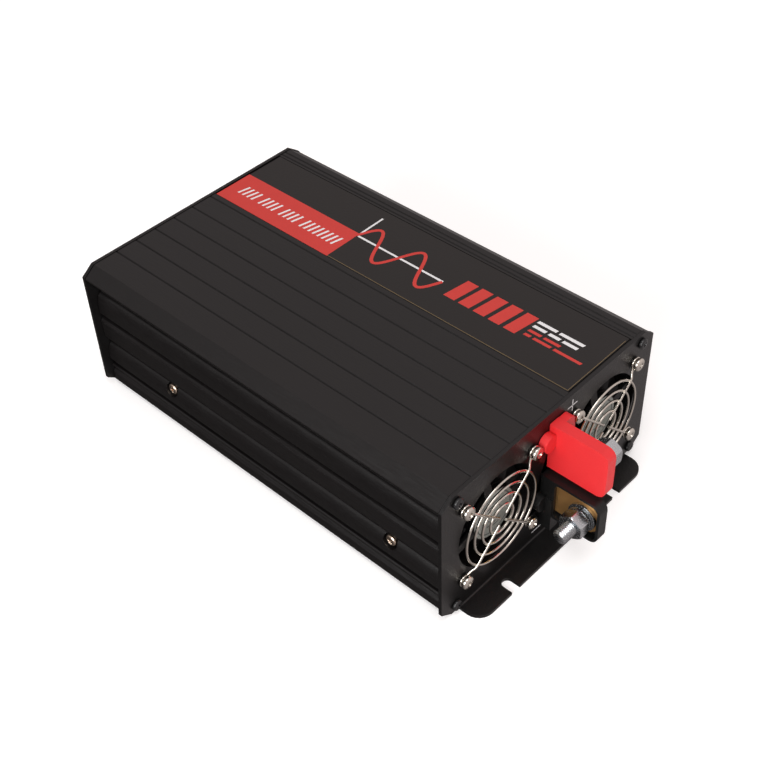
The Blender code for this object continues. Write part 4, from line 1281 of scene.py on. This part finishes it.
class INVERTER_OT_sockets(InverterOperator, Operator):
    """AC sockets with their earth clips"""

    bl_idname = "inverter.sockets"
    bl_label = "AC sockets"

    def execute(self, context):
        for number in (1, 2):
            node = f"ac_socket_{number}"
            dressed(node, f"{node}_moulding", black_abs(), 0.6 * MM, 3, 35)
            low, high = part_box(node)
            middle = (low + high) / 2
            clips = [self.earth_clip(low.x, middle, end) for end in (1, -1)]
            finish_piece(
                soften(joined(clips), 40),
                f"{node}_earth_clips",
                zinc_plate(),
                node,
                stands_for=False,
            )
        return {"FINISHED"}

    def earth_clip(self, face, middle, end):
        """A bent spring strip at the top or foot of a socket's well."""
        well, half_width = 19.5 * MM, 2.0 * MM
        line = [
            (face + 0.6 * MM, well - 0.3 * MM),
            (face + 2.2 * MM, well - 1.6 * MM),
            (face + 6.0 * MM, well - 3.0 * MM),
            (face + 11.0 * MM, well - 2.2 * MM),
            (face + 16.0 * MM, well - 0.5 * MM),
        ]
        bpy.ops.object.select_all(action="DESELECT")
        bpy.ops.mesh.primitive_grid_add(x_subdivisions=len(line) - 1, y_subdivisions=1, size=2)
        strip = bpy.context.object
        for vertex in strip.data.vertices:
            step = round((vertex.co.x + 1) / 2 * (len(line) - 1))
            x, out = line[step]
            vertex.co = (x, middle.y + vertex.co.y * half_width, middle.z + end * out)
        apply_modifier(strip, "SOLIDIFY", thickness=0.6 * MM, offset=0.0)
        face_out(strip)
        return break_edges(strip, 0.15 * MM, 2, 50)


class INVERTER_OT_controls(InverterOperator, Operator):
    """Switch, port, lamps and earth terminal of the AC end"""

    bl_idname = "inverter.controls"
    bl_label = "Controls"

    def execute(self, context):
        chosen = sizes()
        dressed("switch_body", "switch_bezel", black_abs(), 0.3 * MM, 2)
        dressed("switch_rocker", "switch_button", rocker_red(), 0.4 * MM, 3)
        dressed("usb_port", "usb_shell", bright_nickel(), 0.12 * MM, 2)
        dressed("earth_terminal", "earth_screw", zinc_plate(), chosen.small_edge, 2)
        for node, name, tint in (
            ("power_lamp", "green_lamp", "#1FA04A"),
            ("fault_lamp", "red_lamp", "#C4201B"),
        ):
            dressed(node, name, lens(name + "_lens", linear(tint)), 0.12 * MM, 2, 50)
        return {"FINISHED"}


class INVERTER_OT_electronics(InverterOperator, Operator):
    """Boards, transformers, capacitors, choke and clamp bars"""

    bl_idname = "inverter.electronics"
    bl_label = "Electronics"

    def execute(self, context):
        for nodes, material in (
            (("main_board", "control_board"), solder_mask()),
            (("left_clamp_bar", "right_clamp_bar"), mill_aluminium()),
            (("transformer_1", "transformer_2"), ferrite()),
            (("bus_capacitor_1", "bus_capacitor_2"), capacitor_sleeve()),
            (("output_choke",), enamelled_copper()),
        ):
            for node in nodes:
                dressed(node, node + "_detailed", material, 0.25 * MM, 2, 40)
        return {"FINISHED"}


class INVERTER_PT_panel(Panel):
    """Builds the inverter piece by piece"""

    bl_idname = "INVERTER_PT_panel"
    bl_label = "Power inverter"
    bl_space_type = "VIEW_3D"
    bl_region_type = "UI"
    bl_category = "Inverter"

    def draw(self, context):
        column = self.layout.column()
        for operator in OPERATORS:
            column.operator(operator.bl_idname)
        for group in (context.scene.inverter_sizes, context.scene.inverter_colours):
            for name in group.bl_rna.properties.keys():
                if name not in {"rna_type", "name"}:
                    column.prop(group, name)


OPERATORS = (
    INVERTER_OT_stage,
    INVERTER_OT_case,
    INVERTER_OT_label,
    INVERTER_OT_marks,
    INVERTER_OT_fans,
    INVERTER_OT_guards,
    INVERTER_OT_screws,
    INVERTER_OT_terminals,
    INVERTER_OT_sockets,
    INVERTER_OT_controls,
    INVERTER_OT_electronics,
)
CLASSES = (InverterSizes, InverterColours, *OPERATORS, INVERTER_PT_panel)


def register():
    for made in CLASSES:
        bpy.utils.register_class(made)
    bpy.types.Scene.inverter_sizes = PointerProperty(type=InverterSizes)
    bpy.types.Scene.inverter_colours = PointerProperty(type=InverterColours)


def unregister():
    del bpy.types.Scene.inverter_colours
    del bpy.types.Scene.inverter_sizes
    for made in reversed(CLASSES):
        bpy.utils.unregister_class(made)


def main():
    register()
    for operator in OPERATORS:
        group, name = operator.bl_idname.split(".")
        getattr(getattr(bpy.ops, group), name)()


if __name__ == "__main__":
    main()
